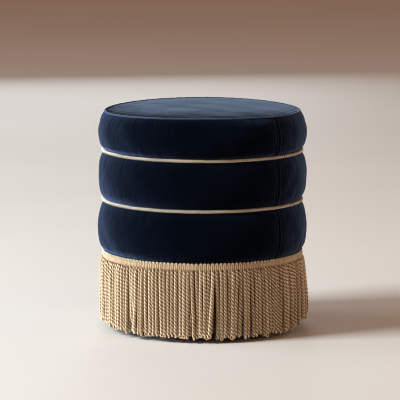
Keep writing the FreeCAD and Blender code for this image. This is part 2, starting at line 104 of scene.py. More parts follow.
def ring_quads(rows, cols, closed_rows=False, closed_cols=True, base=0):
    """Quads of a rows x cols vertex grid, row major; columns run round the axis."""
    r = np.arange(rows if closed_rows else rows - 1)
    c = np.arange(cols if closed_cols else cols - 1)
    rr, cc = np.meshgrid(r, c, indexing="ij")
    r2, c2 = (rr + 1) % rows, (cc + 1) % cols
    q = np.stack([rr * cols + cc, rr * cols + c2, r2 * cols + c2, r2 * cols + cc], -1).reshape(-1, 4)
    return q + base


def grid_uv(rows, cols, u_of_row, v_of_col, closed_rows=False, closed_cols=True):
    """Loop coordinates for ring_quads, with the wrap carried past the last row or column; u and v hold one extra entry there."""
    r = np.arange(rows if closed_rows else rows - 1)
    c = np.arange(cols if closed_cols else cols - 1)
    rr, cc = np.meshgrid(r, c, indexing="ij")
    u0, u1 = u_of_row[rr], u_of_row[rr + 1]
    v0, v1 = v_of_col[cc], v_of_col[cc + 1]
    return np.stack([np.stack([u0, v0], -1), np.stack([u0, v1], -1), np.stack([u1, v1], -1), np.stack([u1, v0], -1)], -2).reshape(-1, 2)


def arc(p0, p1, radius, count):
    """Points from p0 to p1 on a circle of that radius, bulging to the right of travel, the last one left out."""
    (x0, z0), (x1, z1) = p0, p1
    dx, dz = x1 - x0, z1 - z0
    chord = math.hypot(dx, dz)
    drop = radius - math.sqrt(radius * radius - chord * chord / 4.0)
    nx, nz = dz / chord, -dx / chord
    mx, mz = (x0 + x1) / 2.0, (z0 + z1) / 2.0
    cx, cz = mx + nx * (drop - radius), mz + nz * (drop - radius)
    a0 = math.atan2(z0 - cz, x0 - cx)
    a1 = math.atan2(z1 - cz, x1 - cx)
    d = (a1 - a0 + math.pi) % TAU - math.pi
    return [(cx + radius * math.cos(a0 + d * t / count), cz + radius * math.sin(a0 + d * t / count)) for t in range(count)]


def line(p0, p1, count):
    return [(p0[0] + (p1[0] - p0[0]) * t / count, p0[1] + (p1[1] - p0[1]) * t / count) for t in range(count)]


class Noise:
    """Smooth periodic noise round the stool and along the height: a few seeded waves."""

    def __init__(self, waves, low, high, z_low=0.0, z_high=0.0, seed=0):
        g = np.random.default_rng(seed)
        self.k = g.integers(low, high + 1, waves)
        self.m = g.uniform(z_low, z_high, waves) * g.choice([-1, 1], waves)
        self.p = g.uniform(0, TAU, waves)
        self.a = g.uniform(0.5, 1.0, waves)
        self.norm = math.sqrt((self.a ** 2).sum() / 2.0)

    def __call__(self, th, z=0.0):
        out = 0.0
        for k, m, p, a in zip(self.k, self.m, self.p, self.a):
            out = out + a * np.sin(k * th + m * z + p)
        return out / self.norm


def az_xy(r, az):
    """Azimuth is measured from the front (-Y) towards +X."""
    return r * np.sin(az), -r * np.cos(az)


# ------------------------------------------------------------------ node helpers
def new_material(name):
    m = bpy.data.materials.new(name)
    m.use_nodes = True
    nt = m.node_tree
    nt.nodes.clear()
    out = nt.nodes.new("ShaderNodeOutputMaterial")
    bsdf = nt.nodes.new("ShaderNodeBsdfPrincipled")
    nt.links.new(bsdf.outputs[0], out.inputs[0])
    return m, nt, bsdf


def node(nt, kind, **values):
    n = nt.nodes.new(kind)
    for k, v in values.items():
        if k in n.inputs:
            n.inputs[k].default_value = v
        else:
            setattr(n, k, v)
    return n


def math_node(nt, op, a, b=None, c=None):
    n = nt.nodes.new("ShaderNodeMath")
    n.operation = op
    for i, v in enumerate((a, b, c)):
        if v is None:
            continue
        if isinstance(v, (int, float)):
            n.inputs[i].default_value = v
        else:
            nt.links.new(v, n.inputs[i])
    return n.outputs[0]


def ramp(nt, fac, stops):
    n = nt.nodes.new("ShaderNodeValToRGB")
    e = n.color_ramp.elements
    while len(e) > 1:
        e.remove(e[-1])
    e[0].position, e[0].color = stops[0][0], (*stops[0][1], 1)
    for pos, col in stops[1:]:
        x = e.new(pos)
        x.color = (*col, 1)
    nt.links.new(fac, n.inputs[0])
    return n.outputs[0]


def noise_tex(nt, vector, scale, detail=2.0, rough=0.5, distortion=0.0):
    n = nt.nodes.new("ShaderNodeTexNoise")
    n.inputs["Scale"].default_value = scale
    n.inputs["Detail"].default_value = detail
    n.inputs["Roughness"].default_value = rough
    n.inputs["Distortion"].default_value = distortion
    nt.links.new(vector, n.inputs["Vector"])
    return n.outputs["Fac"]


def bump(nt, height, distance, strength=1.0, normal=None):
    n = nt.nodes.new("ShaderNodeBump")
    n.inputs["Strength"].default_value = strength
    n.inputs["Distance"].default_value = distance
    nt.links.new(height, n.inputs["Height"])
    if normal is not None:
        nt.links.new(normal, n.inputs["Normal"])
    return n.outputs[0]


def object_coords(nt):
    return nt.nodes.new("ShaderNodeTexCoord").outputs["Object"]


def scaled(nt, vector, scale):
    n = nt.nodes.new("ShaderNodeMapping")
    n.inputs["Scale"].default_value = scale
    nt.links.new(vector, n.inputs["Vector"])
    return n.outputs[0]


# ------------------------------------------------------------------ materials
VELVET_DARK, VELVET_MID, VELVET_LIGHT = (0.0002, 0.0004, 0.0010), (0.0003, 0.0007, 0.0018), (0.0006, 0.0012, 0.0030)
VELVET_SHEEN, VELVET_SHEEN_ROUGH, VELVET_SHEEN_TINT = 0.96, 0.39, (0.23, 0.35, 0.65, 1.0)
VELVET_STROKE = 0.12
VELVET_GLOSS = 0.0


def velvet_material(name, dark, mid, light, sheen, sheen_rough, sheen_tint, stroke=0.0, front=0.0):
    """stroke leans the pile's shading up the face, as brushed velvet shades lighter one way than the other;
    front lays it forward towards the front edge and the left end of the seat."""
    m, nt, b = new_material(name)
    co = object_coords(nt)
    # the nap: short fibres, seen as a fine speckle; the pile lies in soft patches that differ a little in depth of colour
    nap = noise_tex(nt, scaled(nt, co, (1.0, 1.0, 0.7)), 1300.0, 2.0, 0.7)
    tuft = noise_tex(nt, scaled(nt, co, (1.0, 1.0, 0.8)), 420.0, 3.0, 0.65)
    crush = noise_tex(nt, scaled(nt, co, (1.0, 1.0, 0.45)), 22.0, 3.0, 0.5, 0.5)
    lay = noise_tex(nt, scaled(nt, co, (1.0, 1.0, 0.30)), 6.0, 2.0, 0.5, 0.6)
    mixed = math_node(nt, "ADD", math_node(nt, "MULTIPLY", crush, 0.45), math_node(nt, "MULTIPLY", lay, 0.55))
    col = ramp(nt, mixed, [(0.30, dark), (0.50, mid), (0.70, light)])
    fleck = nt.nodes.new("ShaderNodeMix")
    fleck.data_type = "RGBA"
    fleck.blend_type = "MULTIPLY"
    fleck.inputs["Factor"].default_value = 0.55
    nt.links.new(col, fleck.inputs["A"])
    speck = math_node(nt, "ADD", math_node(nt, "MULTIPLY", nap, 0.5), math_node(nt, "MULTIPLY", tuft, 0.5))
    nt.links.new(ramp(nt, speck, [(0.35, (0.35, 0.38, 0.45)), (0.62, (1.0, 1.0, 1.0))]), fleck.inputs["B"])
    nt.links.new(fleck.outputs["Result"], b.inputs["Base Color"])
    rough = math_node(nt, "ADD", math_node(nt, "MULTIPLY", crush, 0.12), 0.78)
    nt.links.new(rough, b.inputs["Roughness"])
    leaning = nt.nodes.new("ShaderNodeVectorMath")
    leaning.operation = "ADD"
    leaning.inputs[1].default_value = (0.0, 0.0, stroke)
    nt.links.new(nt.nodes.new("ShaderNodeNewGeometry").outputs["Normal"], leaning.inputs[0])
    if front:
        place = nt.nodes.new("ShaderNodeSeparateXYZ")
        nt.links.new(co, place.inputs[0])
        near = math_node(nt, "MULTIPLY", math_node(nt, "ADD", math_node(nt, "MULTIPLY", place.outputs[1], -1.0), -0.055), 7.0)
        left = math_node(nt, "MULTIPLY", math_node(nt, "ADD", math_node(nt, "MULTIPLY", place.outputs[0], -1.0), -0.110), 9.0)
        both = math_node(nt, "ADD", math_node(nt, "MAXIMUM", near, 0.0), math_node(nt, "MAXIMUM", left, 0.0))
        lay_by = math_node(nt, "MULTIPLY", math_node(nt, "ADD", both, math_node(nt, "MULTIPLY", math_node(nt, "SUBTRACT", crush, 0.5), 1.1)), -front)
        forward = nt.nodes.new("ShaderNodeCombineXYZ")
        forward.inputs[2].default_value = stroke
        nt.links.new(math_node(nt, "MINIMUM", lay_by, 0.0), forward.inputs[1])
        nt.links.new(forward.outputs[0], leaning.inputs[1])
    unit = nt.nodes.new("ShaderNodeVectorMath")
    unit.operation = "NORMALIZE"
    nt.links.new(leaning.outputs["Vector"], unit.inputs[0])
    n1 = bump(nt, lay, 0.003, 0.35, unit.outputs["Vector"])
    n2 = bump(nt, crush, 0.0008, 0.35, n1)
    n3 = bump(nt, speck, 0.00030, 0.45, n2)
    nt.links.new(n3, b.inputs["Normal"])
    b.inputs["Specular IOR Level"].default_value = VELVET_GLOSS
    b.inputs["Sheen Weight"].default_value = sheen
    b.inputs["Sheen Roughness"].default_value = sheen_rough
    b.inputs["Sheen Tint"].default_value = sheen_tint
    return m


def cord_material(name, dark, light, yarns, pitch, groove=(0.16, 0.080, 0.030), sheen=0.25, rough=0.44, fuzz=0.00012):
    """Twisted rayon yarn. u runs along a ply in metres, v once round it."""
    m, nt, b = new_material(name)
    uvn = nt.nodes.new("ShaderNodeUVMap")
    uvn.uv_map = "UVMap"
    sep = nt.nodes.new("ShaderNodeSeparateXYZ")
    nt.links.new(uvn.outputs[0], sep.inputs[0])
    turn = math_node(nt, "ADD", math_node(nt, "MULTIPLY", sep.outputs[1], float(yarns)), math_node(nt, "MULTIPLY", sep.outputs[0], yarns / pitch))
    wave = math_node(nt, "ABSOLUTE", math_node(nt, "SINE", math_node(nt, "MULTIPLY", turn, math.pi)))
    wave = math_node(nt, "POWER", wave, 0.6)
    co = object_coords(nt)
    fibre = noise_tex(nt, co, 2600.0, 2.0, 0.7)
    patch = noise_tex(nt, co, 55.0, 2.0, 0.6)
    at = nt.nodes.new("ShaderNodeAttribute")
    at.attribute_name = "tint"
    tone = math_node(nt, "ADD", math_node(nt, "MULTIPLY", at.outputs["Fac"], 0.62), math_node(nt, "MULTIPLY", patch, 0.38))
    col = ramp(nt, tone, [(0.12, dark), (0.85, light)])
    # painted shade: the wave ramp darkens the colour in the narrow hollows between the yarns of each ply
    shade = nt.nodes.new("ShaderNodeMix")
    shade.data_type = "RGBA"
    shade.blend_type = "MULTIPLY"
    shade.inputs["Factor"].default_value = 0.55
    nt.links.new(col, shade.inputs["A"])
    nt.links.new(ramp(nt, wave, [(0.0, (0.55, 0.46, 0.36)), (0.55, (0.94, 0.92, 0.89)), (1.0, (1.0, 1.0, 1.0))]), shade.inputs["B"])
    # painted shade: the colour is made darker and browner down between the plies, where shade falls, following the deep
    # attribute towards the groove colour
    pit = nt.nodes.new("ShaderNodeAttribute")
    pit.attribute_name = "deep"
    down = nt.nodes.new("ShaderNodeMix")
    down.data_type = "RGBA"
    down.blend_type = "MULTIPLY"
    down.inputs["Factor"].default_value = 1.0
    nt.links.new(shade.outputs["Result"], down.inputs["A"])
    nt.links.new(ramp(nt, pit.outputs["Fac"], [(0.0, (1.0, 1.0, 1.0)), (0.12, (0.88, 0.83, 0.76)), (0.30, tuple(c ** 0.55 for c in groove)), (0.52, groove), (1.0, tuple(0.6 * c for c in groove))]), down.inputs["B"])
    nt.links.new(down.outputs["Result"], b.inputs["Base Color"])
    nt.links.new(math_node(nt, "ADD", math_node(nt, "MULTIPLY", fibre, 0.16), rough - 0.08), b.inputs["Roughness"])
    n1 = bump(nt, wave, 0.00035, 0.8)
    n2 = bump(nt, fibre, fuzz, 0.6, n1)
    nt.links.new(n2, b.inputs["Normal"])
    b.inputs["Specular IOR Level"].default_value = 0.45
    b.inputs["Sheen Weight"].default_value = sheen
    b.inputs["Sheen Roughness"].default_value = 0.4
    b.inputs["Sheen Tint"].default_value = (1.0, 0.93, 0.80, 1.0)
    return m


def wood_material(name, dark, light, scale, rough, plies=None, gloss=0.35, coat=0.0):
    """Grain along X, or for plywood a face grain with the edge's plies stacked along Z."""
    m, nt, b = new_material(name)
    co = object_coords(nt)
    grain = noise_tex(nt, scaled(nt, co, (0.08, 1.0, 1.0)), scale, 5.0, 0.6, 0.5)
    fine = noise_tex(nt, scaled(nt, co, (0.02, 1.0, 1.0)), scale * 9.0, 3.0, 0.65)
    mixed = math_node(nt, "ADD", math_node(nt, "MULTIPLY", grain, 0.65), math_node(nt, "MULTIPLY", fine, 0.35))
    col = ramp(nt, mixed, [(0.30, dark), (0.70, light)])
    height = fine
    if plies:
        sep = nt.nodes.new("ShaderNodeSeparateXYZ")
        nt.links.new(co, sep.inputs[0])
        layer = math_node(nt, "SINE", math_node(nt, "MULTIPLY", sep.outputs[2], TAU / plies))
        edge = nt.nodes.new("ShaderNodeNewGeometry")
        sn = nt.nodes.new("ShaderNodeSeparateXYZ")
        nt.links.new(edge.outputs["Normal"], sn.inputs[0])
        flat = math_node(nt, "ABSOLUTE", sn.outputs[2])
        side = math_node(nt, "LESS_THAN", flat, 0.5)
        mix = nt.nodes.new("ShaderNodeMix")
        mix.data_type = "RGBA"
        mix.blend_type = "MULTIPLY"
        nt.links.new(math_node(nt, "MULTIPLY", side, 0.8), mix.inputs["Factor"])
        nt.links.new(col, mix.inputs["A"])
        nt.links.new(ramp(nt, layer, [(0.4, (0.55, 0.42, 0.30)), (0.6, (1.0, 1.0, 1.0))]), mix.inputs["B"])
        col = mix.outputs["Result"]
    nt.links.new(col, b.inputs["Base Color"])
    nt.links.new(math_node(nt, "ADD", math_node(nt, "MULTIPLY", mixed, 0.2), rough - 0.1), b.inputs["Roughness"])
    nt.links.new(bump(nt, height, 0.0003, 0.5), b.inputs["Normal"])
    b.inputs["Specular IOR Level"].default_value = gloss
    b.inputs["Coat Weight"].default_value = coat
    b.inputs["Coat Roughness"].default_value = 0.25
    return m


def board_material():
    m, nt, b = new_material("hardboard_brown")
    co = object_coords(nt)
    pulp = noise_tex(nt, co, 900.0, 4.0, 0.7)
    cloud = noise_tex(nt, co, 14.0, 3.0, 0.5)
    mixed = math_node(nt, "ADD", math_node(nt, "MULTIPLY", pulp, 0.6), math_node(nt, "MULTIPLY", cloud, 0.4))
    nt.links.new(ramp(nt, mixed, [(0.3, (0.10, 0.055, 0.028)), (0.7, (0.21, 0.125, 0.068))]), b.inputs["Base Color"])
    nt.links.new(math_node(nt, "ADD", math_node(nt, "MULTIPLY", pulp, 0.2), 0.62), b.inputs["Roughness"])
    nt.links.new(bump(nt, pulp, 0.0002, 0.5), b.inputs["Normal"])
    return m


def cloth_material(name, dark, light, pitch, woven=True):
    """Plain weave in space for a lining, or a bonded fibre web for the dust cover."""
    m, nt, b = new_material(name)
    co = object_coords(nt)
    if woven:
        uvn = nt.nodes.new("ShaderNodeUVMap")
        uvn.uv_map = "UVMap"
        sep = nt.nodes.new("ShaderNodeSeparateXYZ")
        nt.links.new(uvn.outputs[0], sep.inputs[0])
        a = math_node(nt, "SINE", math_node(nt, "MULTIPLY", sep.outputs[0], TAU / pitch))
        c = math_node(nt, "SINE", math_node(nt, "MULTIPLY", sep.outputs[1], TAU / pitch))
        height = math_node(nt, "MULTIPLY", a, c)
    else:
        height = noise_tex(nt, scaled(nt, co, (1.0, 1.0, 0.3)), 1.0 / pitch, 4.0, 0.75, 1.2)
    fine = noise_tex(nt, co, 1800.0, 2.0, 0.6)
    mixed = math_node(nt, "ADD", math_node(nt, "MULTIPLY", height, 0.35), math_node(nt, "MULTIPLY", fine, 0.65))
    nt.links.new(ramp(nt, mixed, [(0.2, dark), (0.8, light)]), b.inputs["Base Color"])
    nt.links.new(math_node(nt, "ADD", math_node(nt, "MULTIPLY", fine, 0.15), 0.75), b.inputs["Roughness"])
    nt.links.new(bump(nt, height, 0.00025, 0.7), b.inputs["Normal"])
    b.inputs["Specular IOR Level"].default_value = 0.2
    b.inputs["Sheen Weight"].default_value = 0.15
    b.inputs["Sheen Roughness"].default_value = 0.5
    return m


def steel_material():
    m, nt, b = new_material("zinc_steel")
    co = object_coords(nt)
    spangle = noise_tex(nt, co, 420.0, 3.0, 0.6)
    nt.links.new(ramp(nt, spangle, [(0.3, (0.42, 0.42, 0.40)), (0.7, (0.62, 0.62, 0.60))]), b.inputs["Base Color"])
    nt.links.new(math_node(nt, "ADD", math_node(nt, "MULTIPLY", spangle, 0.25), 0.25), b.inputs["Roughness"])
    nt.links.new(bump(nt, spangle, 0.00005, 0.4), b.inputs["Normal"])
    b.inputs["Metallic"].default_value = 1.0
    return m


def plastic_material():
    m, nt, b = new_material("glide_nylon")
    co = object_coords(nt)
    grit = noise_tex(nt, co, 1500.0, 3.0, 0.6)
    scuff = noise_tex(nt, scaled(nt, co, (1.0, 0.15, 1.0)), 160.0, 4.0, 0.6)
    nt.links.new(ramp(nt, scuff, [(0.35, (0.012, 0.011, 0.010)), (0.75, (0.045, 0.042, 0.038))]), b.inputs["Base Color"])
    nt.links.new(math_node(nt, "ADD", math_node(nt, "MULTIPLY", grit, 0.2), 0.45), b.inputs["Roughness"])
    nt.links.new(bump(nt, grit, 0.0001, 0.5), b.inputs["Normal"])
    return m


def floor_material():
    m, nt, b = new_material("pale_floor")
    co = object_coords(nt)
    cloud = noise_tex(nt, co, 1.1, 3.0, 0.5)
    fine = noise_tex(nt, co, 60.0, 3.0, 0.6)
    mixed = math_node(nt, "ADD", math_node(nt, "MULTIPLY", cloud, 0.7), math_node(nt, "MULTIPLY", fine, 0.3))
    nt.links.new(ramp(nt, mixed, [(0.2, (0.585, 0.553, 0.520)), (0.8, (0.650, 0.615, 0.578))]), b.inputs["Base Color"])
    nt.links.new(math_node(nt, "ADD", math_node(nt, "MULTIPLY", fine, 0.1), 0.6), b.inputs["Roughness"])
    b.inputs["Specular IOR Level"].default_value = 0.3
    return m


VELVET = velvet_material("navy_velvet", VELVET_DARK, VELVET_MID, VELVET_LIGHT, VELVET_SHEEN, VELVET_SHEEN_ROUGH, VELVET_SHEEN_TINT, VELVET_STROKE)
# painted light: the seat top gets its own lighter, greyer copy of the velvet colour and sheen tint for the light the
# top face takes
SEAT = velvet_material("navy_velvet_seat_painted_light", (0.0008, 0.0014, 0.0028), (0.0013, 0.0022, 0.0045), (0.0022, 0.0036, 0.0070), 1.0, 0.25, (0.270, 0.352, 0.500, 1.0), front=0.11)
# painted highlight: the tight welt gets a much paler copy of the velvet, standing in for the light its open pile
# catches along the seam
WELT = velvet_material("navy_velvet_welt_painted_highlight", (0.034, 0.046, 0.072), (0.056, 0.074, 0.110), (0.080, 0.105, 0.150), 0.45, 0.45, (0.45, 0.56, 0.76, 1.0))
# the groove colours below are painted shade, down between the plies of the rope, the header cords and the fringe
# strands
ROPE = cord_material("rope_rayon", (0.72, 0.60, 0.44), (1.0, 0.93, 0.79), 6, 0.0085, groove=(0.045, 0.022, 0.010))
GIMP = cord_material("gimp_yarn", (0.54, 0.36, 0.18), (0.90, 0.80, 0.62), 5, 0.0080, groove=(0.60, 0.46, 0.32))
BULLION = cord_material("bullion_yarn", (0.56, 0.39, 0.22), (0.94, 0.78, 0.57), 6, 0.0100, groove=(0.17, 0.082, 0.030))
PLY = wood_material("plywood_birch", (0.50, 0.34, 0.18), (0.74, 0.56, 0.35), 60.0, 0.6, plies=0.0030)
POST = wood_material("post_pine", (0.55, 0.36, 0.18), (0.78, 0.58, 0.34), 70.0, 0.6)
BOARD = board_material()
LINING = cloth_material("dark_lining", (0.040, 0.022, 0.011), (0.095, 0.056, 0.030), 0.0011)
DUST = cloth_material("dust_cover_web", (0.006, 0.006, 0.006), (0.028, 0.028, 0.030), 0.0016, woven=False)
FOOT = wood_material("foot_black_stain", (0.006, 0.0045, 0.004), (0.020, 0.015, 0.012), 240.0, 0.38, gloss=0.5, coat=0.25)
STEEL = steel_material()
NYLON = plastic_material()

# ------------------------------------------------------------------ velvet rolls
gather = Noise(26, 60, 200, 0.0, 0.06, seed=11)
pucker = Noise(22, 90, 260, 0.0, 0.03, seed=12)
wander = Noise(10, 2, 11, 0.0, 0.03, seed=13)
swell = Noise(8, 3, 19, 0.02, 0.08, seed=14)
dimple = Noise(24, 4, 30, 0.03, 0.16, seed=15)


def seam_ride(az):
    """The seat seam isn't level: it rides a little higher at the front and the back than at the sides."""
    return 2.2 * np.cos(2.0 * az)


def azimuths(count):
    """Even steps round the stool, with finer ones at the side seam."""
    base = np.linspace(SEAM_AZ, SEAM_AZ + TAU, count, endpoint=False)
    fine = SEAM_AZ + np.concatenate([np.linspace(-0.062, -0.0025, 26), np.linspace(0.0, 0.062, 27)])
    keep = np.abs((base - SEAM_AZ + math.pi) % TAU - math.pi) > 0.0645
    return np.sort(np.mod(np.concatenate([base[keep], fine]), TAU))


def side_seam(az, z, r, wobble):
    """How far the cloth dips at the sewn side seam, and the small ridges beside it."""
    d = ((az - SEAM_AZ + math.pi) % TAU - math.pi) * r + wobble
    dip = -2.3 * np.exp(-(d / 1.15) ** 2)
    ridge = 0.75 * np.exp(-((d - 3.3) / 1.8) ** 2) + 0.45 * np.exp(-((d + 3.6) / 2.0) ** 2)
    pull = -0.9 * np.exp(-(d / 10.0) ** 2)
    return dip + ridge + pull


def run_length(pts):
    """How far along a profile each of its points is, from 0 to 1."""
    s = np.concatenate([[0], np.cumsum(np.linalg.norm(np.diff(np.asarray(pts, float), axis=0), axis=1))])
    return s / s[-1]


def fill_covers(jobs, cols=420, rows=26):
    """Each padded cover as a coarse closed skin, held where it is tied or sewn down and blown out by its filling, with a
    little more cloth than its face needs. Kept from it is how far each point moved off the level of its own ring: the
    tucks and hollows, as a function of the azimuth and of the way along the profile."""
    az = np.linspace(0, TAU, cols, endpoint=False)
    scene = bpy.context.scene
    skins = []
    for k, (name, face, inner, slack) in enumerate(jobs):
        face = np.asarray(face, float)
        s, even = run_length(face), np.linspace(0, 1, rows)
        face = np.stack([np.interp(even, s, face[:, 0]), np.interp(even, s, face[:, 1])], -1)
        prof = np.concatenate([face, np.asarray(inner, float)])
        A = np.repeat(az[None, :], len(prof), 0)
        tie = np.exp(-np.minimum(np.arange(len(prof)), np.abs(rows - 1 - np.arange(len(prof)))) / 2.5)[:, None] * (np.arange(len(prof)) < rows)[:, None]
        R = prof[:, 0][:, None] + 0.30 * tie * gather(A + 1.3 * k)
        x, y = az_xy(R, A)
        rest = np.stack([x, y, np.repeat(prof[:, 1][:, None], cols, 1)], -1)
        skin = make_object("filling_" + name, rest.reshape(-1, 3), ring_quads(len(prof), cols, closed_rows=True))
        held = np.concatenate([np.arange(2 * cols), np.arange((rows - 2) * cols, len(prof) * cols)])
        skin.vertex_groups.new(name="held").add([int(i) for i in held], 1.0, "REPLACE")
        cloth = skin.modifiers.new("cover", "CLOTH")
        cloth.point_cache.frame_start, cloth.point_cache.frame_end = 1, 20
        cloth.collision_settings.use_collision = False
        cloth.collision_settings.use_self_collision = False
        st = cloth.settings
        st.quality, st.mass, st.air_damping = 5, 0.3, 1.0
        st.tension_stiffness, st.compression_stiffness, st.shear_stiffness, st.bending_stiffness = 15.0, 15.0, 5.0, 0.5
        st.use_pressure, st.uniform_pressure_force = True, 4.0
        st.shrink_min = -slack
        st.vertex_group_mass = "held"
        st.effector_weights.gravity = 0.0
        tangent = np.gradient(face, axis=0)
        tangent /= np.linalg.norm(tangent, axis=1)[:, None]
        skins.append((name, skin, rest[:rows], tangent))
    for f in range(1, 21):
        scene.frame_set(f)
    deps = bpy.context.evaluated_depsgraph_get()
    kept = {}
    for name, skin, rest, tangent in skins:
        mesh = skin.evaluated_get(deps).data
        co = np.empty(len(mesh.vertices) * 3, np.float32)
        mesh.vertices.foreach_get("co", co)
        moved = co.reshape(-1, 3)[:rows * cols].reshape(rows, cols, 3) / MM - rest
        out = moved[..., 0] * np.sin(az) - moved[..., 1] * np.cos(az)
        off = out * tangent[:, 1][:, None] - moved[..., 2] * tangent[:, 0][:, None]
        off = np.clip(off - off.mean(1)[:, None], -2.2, 2.2)

        def read(A, t, off=off):
            a = np.mod(A, TAU) / TAU * cols
            b = np.clip(t, 0, 1) * (rows - 1)
            a0, b0 = np.floor(a).astype(int), np.minimum(np.floor(b).astype(int), rows - 2)
            fa, fb = a - a0, b - b0
            fa, fb = fa * fa * (3 - 2 * fa), fb * fb * (3 - 2 * fb)
            a0, a1 = a0 % cols, (a0 + 1) % cols
            return (off[b0, a0] * (1 - fa) + off[b0, a1] * fa) * (1 - fb) + (off[b0 + 1, a0] * (1 - fa) + off[b0 + 1, a1] * fa) * fb

        kept[name] = read
        bpy.data.meshes.remove(skin.data)
    scene.frame_set(1)
    return kept


def roll(name, outer, inner, low, high, low_pull, high_pull, seed, top=False):
    """A stuffed velvet roll. outer is its face from low to high; inner closes the solid behind it."""
    az = azimuths(620)
    pts = np.array(outer)
    n_out = len(pts)
    back = np.array(inner)
    prof = np.concatenate([pts, back])
    R = np.repeat(prof[:, 0][:, None], len(az), 1)
    Z = np.repeat(prof[:, 1][:, None], len(az), 1)
    A = np.repeat(az[None, :], len(prof), 0)
    face = np.zeros(len(prof))
    face[:n_out] = 1.0
    face[:2] = 0.0
    face[n_out - 2:n_out] = 0.0
    dz_low = np.clip(Z - low, 0, None)
    dz_high = np.clip(high - Z, 0, None)
    middle = np.clip(np.minimum(dz_low, dz_high) / 18.0, 0, 1)
    ph = seed * 1.7
    rise = 0.45 * wander(A + ph, Z) * middle + 0.30 * swell(A - ph, Z) * middle + 0.16 * dimple(A + 2 * ph, Z) * middle
    g = gather(A + ph, Z)
    # tucks run up from the rope below and down from the one above, some of them long
    pull = low_pull * np.exp(-dz_low / 8.0) + high_pull * np.exp(-dz_high / 8.0)
    long_tuck = Noise(14, 24, 70, 0.0, 0.01, seed=90 + seed)(A)
    pull_long = low_pull * np.exp(-dz_low / 20.0) + high_pull * np.exp(-dz_high / 20.0)
    soft = np.clip(np.minimum(dz_low, dz_high) / 3.5, 0, 1)
    rise = rise + (0.26 * g * pull + 0.12 * long_tuck * pull_long) * soft
    if top:
        # a gathered stretch under the seat seam, right of the front
        d = (A + math.pi) % TAU - math.pi
        here = np.exp(-((d - 0.17) / 0.20) ** 2)
        crease = np.sin(A * 118.0 + 0.9 * np.sin(A * 31.0)) + 0.5 * np.sin(A * 203.0)
        rise = rise + 0.50 * here * crease * np.exp(-dz_high / 9.0) * soft
    along = np.concatenate([run_length(pts), np.zeros(len(back))])
    rise = rise + FILL_K * filled[name](A, np.repeat(along[:, None], len(az), 1)) * soft
    wob = 0.35 * np.sin(Z / 13.0 + ph) + 0.2 * np.sin(Z / 5.1 + ph)
    rise = rise + side_seam(A, Z, R, wob) * np.clip(soft + 0.35, 0, 1)
    rise = rise * face[:, None]
    # along the face's own normal
    tangent = np.gradient(prof[:n_out], axis=0)
    tangent /= np.linalg.norm(tangent, axis=1)[:, None]
    nr = np.zeros(len(prof))
    nz = np.zeros(len(prof))
    nr[:n_out], nz[:n_out] = tangent[:, 1], -tangent[:, 0]
    R = R + rise * nr[:, None]
    Z = Z + rise * nz[:, None]
    if top:
        t = np.clip((Z - (SEAM_Z - 48.0)) / 48.0, 0, 1)
        Z = Z + seam_ride(A) * t * t * (3 - 2 * t)
    x, y = az_xy(R, A)
    co = np.stack([x, y, Z], -1).reshape(-1, 3)
    quads = ring_quads(len(prof), len(az), closed_rows=True)
    return make_object(name, co, quads, material=VELVET)


FILL_K, SEAT_FILL_K = 0.26, 0.07                      # the velvet is drawn smooth: only this share of the tucks is left
FACE = 202.5
FLANK = 213.0
BELLY = 150.0


def lower_curve(groove):
    return line((FACE, groove + 0.2), (FACE, groove + 1.5), 2) + arc((FACE, groove + 1.5), (FLANK, groove + 21.0), 42.0, 18)


def upper_curve(groove):
    return arc((FLANK, groove - 21.0), (FACE, groove - 1.5), 42.0, 18) + line((FACE, groove - 1.5), (FACE, groove - 0.2), 2) + [(FACE, groove - 0.2)]


TOP_LOW = UPPER_GROOVE - 9.0
TOP_HIGH = UPPER_GROOVE + 9.0
MID_LOW = LOWER_GROOVE - 7.5
MID_HIGH = LOWER_GROOVE + 7.5
LOW_HIGH = HEADER_LOW + 15.0
middle_outer = lower_curve(LOWER_GROOVE) + arc((FLANK, LOWER_GROOVE + 21.0), (FLANK, UPPER_GROOVE - 21.0), BELLY, 30) + upper_curve(UPPER_GROOVE)
middle_inner = [(201.3, UPPER_GROOVE - 0.2), (201.3, TOP_LOW - 0.2), (190.2, TOP_LOW - 0.2), (190.2, MID_HIGH + 0.3), (201.3, MID_HIGH + 0.3), (201.3, LOWER_GROOVE + 0.2)]
lower_outer = (
    line((202.9, HEADER_LOW + 7.2), (202.9, HEADER_TOP + 0.4), 4)
    + arc((202.9, HEADER_TOP + 0.4), (209.2, HEADER_TOP + 6.4), 14.0, 8)
    + arc((209.2, HEADER_TOP + 6.4), (FLANK, HEADER_TOP + 15.0), 30.0, 8)
    + arc((FLANK, HEADER_TOP + 15.0), (FLANK, LOWER_GROOVE - 21.0), BELLY, 28)
    + upper_curve(LOWER_GROOVE)
)
lower_inner = [(201.3, LOWER_GROOVE - 0.2), (201.3, MID_LOW - 0.3), (190.2, MID_LOW - 0.3), (190.2, LOW_HIGH + 0.3), (201.4, LOW_HIGH + 0.3), (201.4, HEADER_LOW + 7.2)]
upper_outer = (
    line((FACE, UPPER_GROOVE + 0.2), (FACE, UPPER_GROOVE + 3.6), 3)
    + arc((FACE, UPPER_GROOVE + 3.6), (211.6, UPPER_GROOVE + 11.8), 18.0, 9)
    + arc((211.6, UPPER_GROOVE + 11.8), (212.8, SEAM_Z - 23.6), 77.0, 26)
    + arc((212.8, SEAM_Z - 23.6), (SEAM_R + 1.3, SEAM_Z - 1.2), 36.0, 20)
    + [(SEAM_R + 1.3, SEAM_Z - 1.2)]
)
upper_inner = [(SEAM_R - 0.2, SEAM_Z - 1.9), (191.6, SEAM_Z - 1.9), (191.6, TOP_HIGH + 0.3), (201.2, TOP_HIGH + 0.3), (201.2, UPPER_GROOVE + 0.2)]
SEAT_RIM = SEAM_R - 1.5
